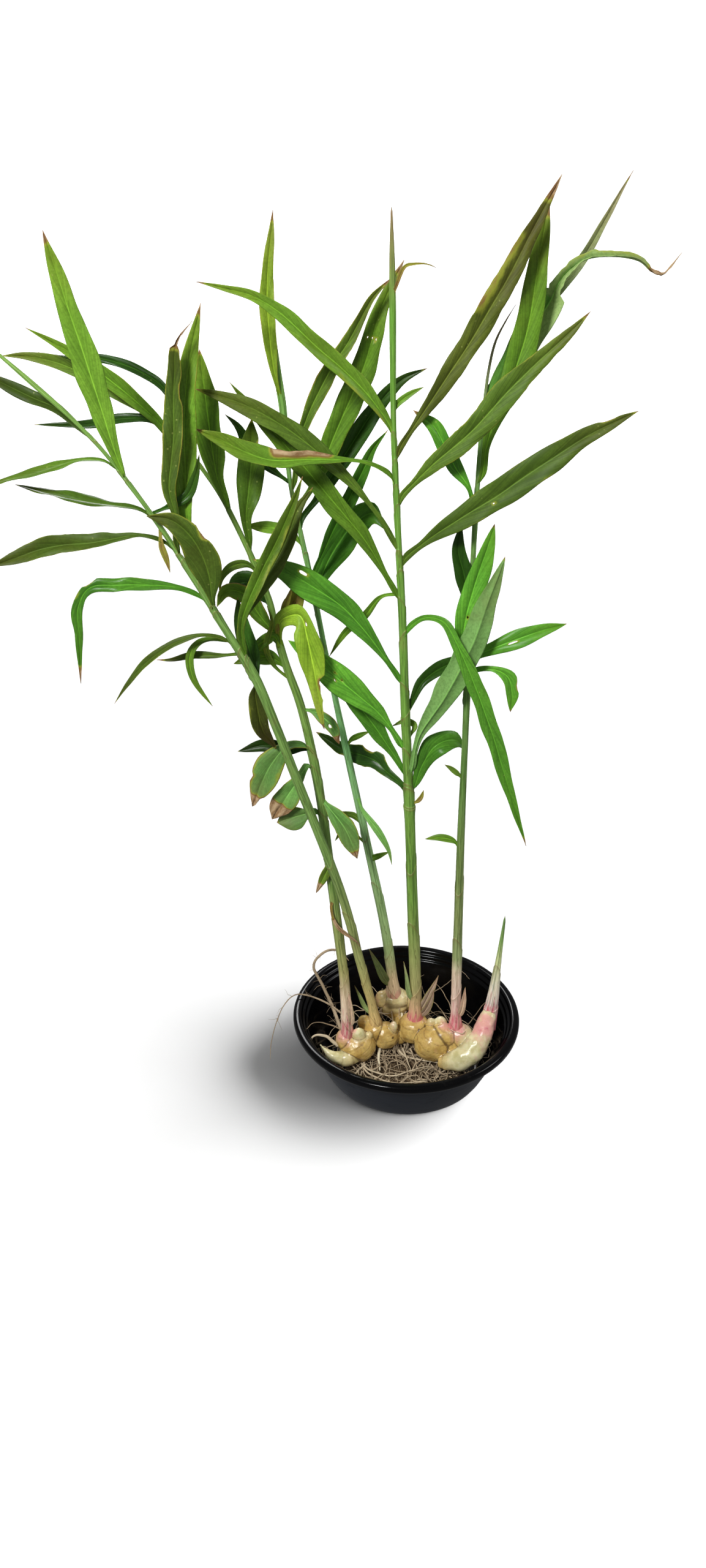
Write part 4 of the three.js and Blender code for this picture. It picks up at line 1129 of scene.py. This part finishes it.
# what sets each blade apart: its tone and its own wear
looks = {
    "tall_left_1": dict(tone="lime", dry=0.95, rim=0.2, scorch=[(0.04, 0.4, -1, 0.3)]),
    "tall_left_2": dict(tone="green", dry=0.95, rim=0.4, wave=1.2, crumple=0.4,
                        notches=[(0.55, 1, 0.3, 9)], scorch=[(0.36, 0.68, 1, 1.0)]),
    "tall_left_3": dict(tone="olive", shade=0.7, rim=0.3, full=0.95),
    "tall_left_4": dict(tone="green", shade=0.66, dry=0.97, wave=1.0),
    "tall_left_5": dict(tone="vivid", shade=0.85, dry=0.97, full=1.08, holes=[(0.77, 0.55, 4.0, 1.3)]),
    "tall_left_6": dict(tone="vivid", dry=0.98,
                        holes=[(0.62, 0.1, 1.2, 0.9), (0.65, -0.25, 1.5, 0.8), (0.68, 0.2, 1.0, 0.8)]),
    "tall_left_7": dict(tone="vivid", shade=0.6),
    "tall_left_8": dict(tone="dark", rim=0.5, crumple=0.6,
                        notches=[(0.5, 1, 0.4, 6), (0.72, -1, 0.35, 5)]),
    "tall_right_1": dict(tone="umber", dry=0.9, rim=0.4, wave=1.2, full=1.14,
                         scorch=[(0.52, 0.84, -1, 0.42)]),
    "tall_right_2": dict(tone="olive", shade=0.9, dry=0.95, rim=0.4, full=1.16),
    "tall_right_3": dict(tone="olive", shade=0.66, rim=0.3, full=1.16, holes=[(0.43, -0.3, 0.9, 0.8)],
                         notches=[(0.9, 1, 0.3, 6)]),
    "tall_right_4": dict(tone="vivid", shade=0.7, dry=0.95),
    "tall_right_5": dict(tone="dark", shade=0.6),
    "tall_right_6": dict(tone="grey", shade=0.9, dry=0.97, wave=0.7, full=1.2),
    "tall_right_7": dict(tone="vivid", shade=0.55, wave=1.2, full=1.15),
    "slim_1": dict(tone="olive", shade=0.82, dry=0.93, rim=0.5, wave=1.2),
    "slim_2": dict(tone="green", shade=0.8, dry=0.93, rim=0.3,
                   holes=[(0.72, -0.4, 0.9, 0.75), (0.72, 0.0, 0.8, 0.7), (0.72, 0.4, 0.8, 0.7)]),
    "slim_3": dict(tone="dark"),
    "slim_4": dict(tone="vivid", shade=0.55, wave=0.6),
    "slim_5": dict(tone="vivid", shade=0.7, rim=0.3, wave=1.4, full=1.16),
    "slim_6": dict(tone="lime"),
    "right_1": dict(tone="green", dry=0.91, rim=0.2, full=1.16),
    "right_2": dict(tone="window", dry=0.83, rim=0.2, wave=0.6, full=1.55, turned=-1,
                    turned_after=0.46, holes=[(0.3, 0.5, 4.4, 1.6)],
                    keep=[(0.47, 1.0, 1, 0.4), (0.47, 1.0, -1, 0.4)], scorch=[(0.5, 0.84, 1, 0.3)]),
    "right_3": dict(tone="bud", shade=0.8, dry=0.94, rim=0.3, full=1.45),
    "right_4": dict(tone="vivid", dry=0.97, full=1.2, holes=[(0.5, -0.2, 5.0, 0.8)]),
    "right_5": dict(tone="vivid", full=1.15, holes=[(0.4, -0.15, 1.1, 0.9)]),
    "right_6": dict(tone="vivid", shade=0.16, full=1.15),
    "right_7": dict(tone="vivid", dry=0.94, rim=0.3),
    "right_8": dict(tone="vivid", rim=0.3, notches=[(0.7, 1, 0.3, 4)]),
    "leaning_1": dict(tone="lime", dry=0.93, rim=0.1, full=1.22),
    "leaning_2": dict(tone="green", shade=0.8, rim=0.3),
    "leaning_3": dict(tone="green", shade=0.42, rim=0.3),
    "leaning_4": dict(tone="olive", shade=0.48, dry=0.97, rim=0.4, wave=1.1),
    "leaning_5": dict(tone="olive", shade=0.35, dry=0.95, rim=0.3),
    "leaning_6": dict(tone="vivid", shade=0.64, dry=0.9, rim=0.3, wave=1.2,
                      notches=[(0.53, 1, 0.6, 4)], scorch=[(0.56, 0.62, 1, 0.6)]),
    "leaning_7": dict(tone="olive", shade=0.5, dry=0.95, rim=0.4, wave=1.3, crumple=0.3, full=0.82),
    "leaning_8": dict(tone="olive", shade=0.55, dry=1.1, rim=0.3, full=1.22,
                      notches=[(0.6, -1, 0.2, 5)],
                      scorch=[(0.78, 1.1, 1, 0.22), (0.78, 1.1, -1, 0.22)]),
    "leaning_9": dict(tone="olive", shade=0.52, dry=0.84, rim=0.4, wave=1.4, crumple=0.4, full=1.16,
                      notches=[(0.7, 1, 0.35, 8)], keep=[(0.87, 1.1, 1, 0.3), (0.87, 1.1, -1, 0.3)]),
    "leaning_10": dict(tone="green", dry=0.94, rim=0.3, wave=1.2, full=1.18),
    "leaning_11": dict(tone="green", shade=0.55, rim=0.3, scorch=[(0.3, 0.8, 1, 0.28)]),
    "leaning_12": dict(tone="olive", shade=0.6, rim=0.3, full=1.18, notches=[(0.6, -1, 0.25, 5)]),
    "pink_1": dict(tone="green", rim=0.3),
    "pink_2": dict(tone="olive", rim=0.3),
    "pink_3": dict(tone="green", dry=0.95, rim=0.2, full=1.18),
    "pink_4": dict(tone="green", shade=0.45, wave=1.4, full=1.12, notches=[(0.8, 1, 0.3, 6)]),
    "pink_5": dict(tone="yellow", dry=0.95, rim=0.3, wave=1.2, crumple=0.6,
                   holes=[(0.4, 0.2, 1.8, 1.1)], keep=[(0.7, 1.0, 1, 0.35)],
                   scorch=[(0.66, 0.8, 1, 0.55)]),
    "pink_6": dict(tone="grey", shade=0.8, spent=0.1, dry=0.87, rim=0.34, wave=1.6, crumple=0.9,
                   full=1.38, notches=[(0.93, 1, 0.4, 4), (0.72, -1, 0.2, 3)]),
    "pink_7": dict(tone="grey", spent=0.06, dry=0.72, rim=0.4, wave=1.6, crumple=1.0, full=1.35),
    "pink_8": dict(tone="grey", shade=0.8, spent=0.08, rim=0.3, crumple=0.4, full=1.25),
}
for seed, (name, look) in enumerate(looks.items()):
    rows = cad_rows("leaf_" + name, name.split("_")[0])
    blade("blade_" + name, rows, cad=["leaf_" + name], seed=seed, **look)


# ---- The small leaves ---------------------------------------------------------------------
# Young blades, blades deeper in the plant given the dark tone as painted shade, leaf stubs, withered
# strips that hang on, and the scale leaves that wrap the foot of each shoot. Each grows from its stem as
# the others do.

# stem, height it leaves at, width, middle line, tone, look
small_leaves = [
    ("slim", 652, 10.5, [(-114, 24, 668), (-118, 23, 698), (-119, 24, 736), (-113, 24, 789)], "yellow",
     dict(shade=0.62, dry=0.93, rim=0.5, turn=(90, 90))),
    ("pink", 466, 14, [(-133, -14, 492), (-141, -17, 508), (-157, -19, 512), (-166, -20, 498)], "green",
     dict(rim=0.5, crumple=0.9)),
    ("leaning", 436, 14, [(-139, -30, 462), (-146, -26, 486), (-148, -24, 508)], "dark",
     dict(crumple=0.6)),
    ("pink", 440, 12, [(-124, -10, 450), (-138, -12, 452), (-155, -14, 446)], "green",
     dict(crumple=0.8)),
    ("pink", 470, 15, [(-108, -8, 486), (-99, -10, 504), (-96, -12, 520)], "dry", dict(spent=0.3,
     crumple=1.0)),
    ("pink", 402, 11, [(-86, -12, 402), (-74, -16, 392), (-66, -18, 372)], "grey", dict(dry=0.8,
     rim=0.6, crumple=1.0, holes=[(0.6, 0.2, 2.0, 1.2)])),
    ("tall", 505, 6.2, [(-30, 2, 500), (-45, 8, 480), (-60, 14, 465), (-75, 18, 440)], "green", {}),
    ("slim", 588, 9, [(-120, 26, 600), (-135, 22, 615), (-145, 18, 635), (-155, 16, 645)], "dark", {}),
    ("leaning", 481, 6.2, [(-175, -48, 480), (-185, -50, 470), (-185, -52, 450), (-170, -54, 425)],
     "green", {}),
    ("leaning", 469, 5.4, [(-165, -44, 465), (-185, -42, 465), (-205, -40, 460), (-215, -40, 460)],
     "olive", dict(shade=0.55, dry=0.9)),
    ("leaning", 446, 14, [(-135, -40, 425), (-130, -36, 395), (-120, -32, 375)], "umber",
     dict(shade=0.5, spent=0.12, crumple=1.0)),
    ("pink", 623, 7.4, [(-215, 22, 640), (-240, 26, 640), (-265, 28, 635), (-290, 28, 635),
     (-310, 28, 635)], "dark", dict(shade=0.7, turn=(60, 65))),
    ("pink", 629, 7.4, [(-200, 22, 660), (-220, 26, 675), (-250, 28, 685), (-275, 28, 685),
     (-300, 28, 690)], "dark", dict(turn=(60, 65))),
    ("pink", 492, 19, [(-130, 8, 500), (-145, 10, 510), (-160, 12, 500)], "dark", dict(crumple=0.7)),
    ("pink", 365, 11, [(-110, -14, 365), (-130, -14, 370), (-155, -16, 365)], "dark", dict(shade=0.5)),
    ("pink", 317, 12, [(-70, -22, 305), (-60, -26, 290), (-50, -28, 262)], "grey", dict(dry=0.86,
     rim=0.4, crumple=0.4, full=1.5)),
    ("tall", 640, 5, [(-22, 2, 652), (-11, 2, 662), (1, 2, 668)], "green", {}),
    ("slim", 300, 6, [(-45, 24, 285), (-28, 10, 266), (-20, 4, 252), (-17, 2, 237)], "grey", {}),
    ("slim", 214, 5.5, [(-36, 30, 226), (-27, 28, 232), (-18, 28, 236)], "green", dict(rim=0.5)),
    ("slim", 262, 5.5, [(-52, 30, 274), (-60, 28, 278), (-67, 28, 280)], "olive", dict(rim=0.5)),
    ("slim", 242, 5, [(-50, 30, 252), (-62, 28, 261), (-71, 28, 248)], "olive", {}),
    ("slim", 346, 5, [(-55, 30, 355), (-46, 28, 361), (-38, 28, 364)], "green", {}),
    ("right", 266, 6.5, [(38, -18, 275), (26, -18, 278), (12, -17, 276)], "green", dict(turn=(50, 60))),
    ("right", 336, 4.6, [(39, -15, 343), (33, -14, 348), (28, -14, 351)], "olive", dict(rim=0.5)),
    ("leaning", 575, 4.5, [(-200, -62, 562), (-197, -62, 550), (-195, -62, 540)], "dry",
     dict(spent=0.3)),
    ("pink", 522, 7, [(-142, -10, 532), (-153, -16, 531), (-161, -18, 522), (-163, -20, 511)], "olive",
     dict(crumple=0.6)),
    ("pink", 462, 6, [(-117, -12, 474), (-112, -16, 492), (-102, -18, 517)], "dry", dict(spent=0.35,
     crumple=0.9)),
    ("pink", 455, 9, [(-120, -12, 470), (-132, -16, 464), (-142, -18, 450)], "green", dict(dry=0.75,
     crumple=0.7)),
    ("pink", 428, 4.5, [(-122, -12, 444), (-127, -16, 462), (-121, -18, 484), (-124, -18, 499)],
     "olive", dict(spent=0.2, crumple=1.0)),
    ("pink", 262, 8, [(-76, -24, 252), (-81, -26, 240), (-88, -28, 225)], "olive", dict(dry=0.7,
     rim=0.6)),
    ("pink", 214, 3.2, [(-74, -26, 210), (-72, -29, 197), (-67.5, -31, 188.5), (-59, -33, 181.5),
     (-50, -30.5, 172), (-46.5, -27.5, 164)], "dry", dict(spent=0.5, dry=0.3, crumple=0.5)),
    ("tall", 733, 2.6, [(-21, -4, 741), (-18.4, -5, 747.5), (-14.9, -5, 752.8), (-9.6, -4, 754),
     (-1.5, -4, 754.4), (3, -4, 753.5), (6.6, -4, 752)], "dry", dict(spent=0.45, crumple=0.4,
     belly=0.3)),
    ("leaning", 585, 7, [(-180, -52, 596), (-172, -52, 612), (-168, -54, 628)], "dark", {}),
    ("tall", 370, 5, [(1, 0, 382), (-7, 4, 385), (-19, 4, 380)], "olive", {}),
    ("tall", 306, 4, [(5, -10, 312), (8, -10, 316), (10, -10, 323)], "dry", dict(spent=0.3)),
    ("slim", 66, 7.5, [(-21, 30, 82), (-29, 29, 102), (-38, 29, 121)], "bud", dict(shade=0.6, rim=0.3,
     crumple=0.5, belly=0.3)),
    ("tall", 78, 4.6, [(2, -13, 98), (-1, -13, 118), (-4, -13, 136)], "bud", dict(rim=0.2, belly=0.3)),
    ("tall", 64, 9, [(17, -10, 80), (23, -11, 97), (30, -11, 117)], "sheath", dict(shade=0.6, rim=0.6,
     crumple=0.5, belly=0.26)),
    ("tall", 62, 7, [(18, -12, 74), (23, -13, 88), (26, -13, 102)], "sheath", dict(shade=0.5, rim=0.5,
     crumple=0.5, belly=0.26)),
    ("right", 70, 6, [(53, -25, 84), (55, -25, 98), (55.5, -25, 114)], "sheath", dict(rim=0.3,
     belly=0.3)),
    ("pink", 62, 5.5, [(-55, -31, 78), (-56, -31, 94), (-58, -30, 112)], "sheath", dict(rim=0.5,
     belly=0.3)),
    ("leaning", 66, 4.5, [(-42, -9, 78), (-47, -8, 90), (-52, -7, 102)], "bud", dict(rim=0.3,
     belly=0.3)),
]
for number, (stem, height, width, middle, tone, look) in enumerate(small_leaves, 1):
    shape = {key: look.pop(key) for key in ("belly", "turn") if key in look}
    rows = blade_rows(stem, height, width, middle, **shape)
    blade(f"small_{stem}_{number}", rows, tone, seed=199 + number, **look)


# ---- The floor, the light and the camera --------------------------------------------------
# A plain white floor that curves up all round, far behind the plant. Soft daylight from the
# right falls on the paper, and a broad soft lamp in front and above lights the plant.

PAPER_REACH, PAPER_CURVE, PAPER_TOP = 9.0, 3.0, 16.0  # metres
PAPER_TURNS = 96

paper = Finish("floor_paper", Roughness=0.8, Specular_IOR_Level=0.05, Emission_Strength=1.0)
away = paper.node("ShaderNodeVectorMath", {"operation": "LENGTH"}, [paper.place()], "Value")
paper.set(
    Base_Color=paper.blend(paper.grain(3.0), (0.8, 0.8, 0.8), (0.81, 0.81, 0.81)),
    Emission_Color=paper.blend(away.step(0.9, 4.5), (0.0, 0.0, 0.0), (0.95, 0.95, 0.95)),
)
sweep = [(reach, 0.0) for reach in (0.5, 1.0, 2.0, 4.0, 6.5, PAPER_REACH)]
for a in np.linspace(0, math.pi / 2, 13)[1:]:
    sweep.append((PAPER_REACH + PAPER_CURVE * math.sin(a), PAPER_CURVE * (1 - math.cos(a))))
sweep.append((PAPER_REACH + PAPER_CURVE, PAPER_TOP))
floor_mesh = bpy.data.meshes.new("floor")
floor_mesh.from_pydata([*turned(sweep, PAPER_TURNS), (0, 0, 0)], [],
                       loops_to_faces(len(sweep), PAPER_TURNS, far_end=False))
floor_mesh.shade_smooth()
floor_mesh.materials.append(paper.material)
floor = bpy.data.objects.new("floor", floor_mesh)
bpy.context.scene.collection.objects.link(floor)
floor.visible_diffuse = floor.visible_glossy = floor.visible_shadow = False

world = bpy.data.worlds.new("studio")
world.use_nodes = True
sky = world.node_tree.nodes["Background"].inputs
sky["Color"].default_value = (1.0, 1.0, 1.0, 1.0)
sky["Strength"].default_value = 0.3
bpy.context.scene.world = world


def lamp(name, kind, spot, power, paper_lit, **settings):
    """A lamp aimed at the middle of the plant, which lights either the paper or all else."""
    light = bpy.data.lights.new(name, kind)
    light.energy = power
    for key, value in settings.items():
        setattr(light, key, value)
    made = bpy.data.objects.new(name, light)
    made.location = spot
    aim = Vector((-0.05, 0.0, 0.3)) - Vector(spot)
    made.rotation_euler = aim.to_track_quat("-Z", "Y").to_euler()
    bpy.context.scene.collection.objects.link(made)
    lit = bpy.data.collections.new(name + "_lights")
    lit.objects.link(floor)
    lit.collection_objects[0].light_linking.link_state = "INCLUDE" if paper_lit else "EXCLUDE"
    made.light_linking.receiver_collection = lit


lamp("daylight", "SUN", (3.0, 0.1, 1.35), 10.5, True, angle=math.radians(80))
lamp("front", "AREA", (-0.8, -1.45, 1.75), 50, False, shape="SQUARE", size=0.4)
lamp("side", "AREA", (1.6, 0.1, 1.5), 12, False, shape="SQUARE", size=0.6)
lamp("back", "AREA", (-0.4, 1.7, 1.6), 20, False, shape="SQUARE", size=0.6)

scene = bpy.context.scene
scene.view_settings.view_transform = "Standard"
camera = bpy.data.objects.new("camera", bpy.data.cameras.new("camera"))
camera.location = (-0.0537, -0.9132, 0.7979)
camera.rotation_euler = (math.radians(62.58), 0.0, 0.0)
camera.data.lens = 26
camera.data.sensor_width = 36
camera.data.dof.use_dof = False
camera.data.clip_end = 60
scene.collection.objects.link(camera)
scene.camera = camera
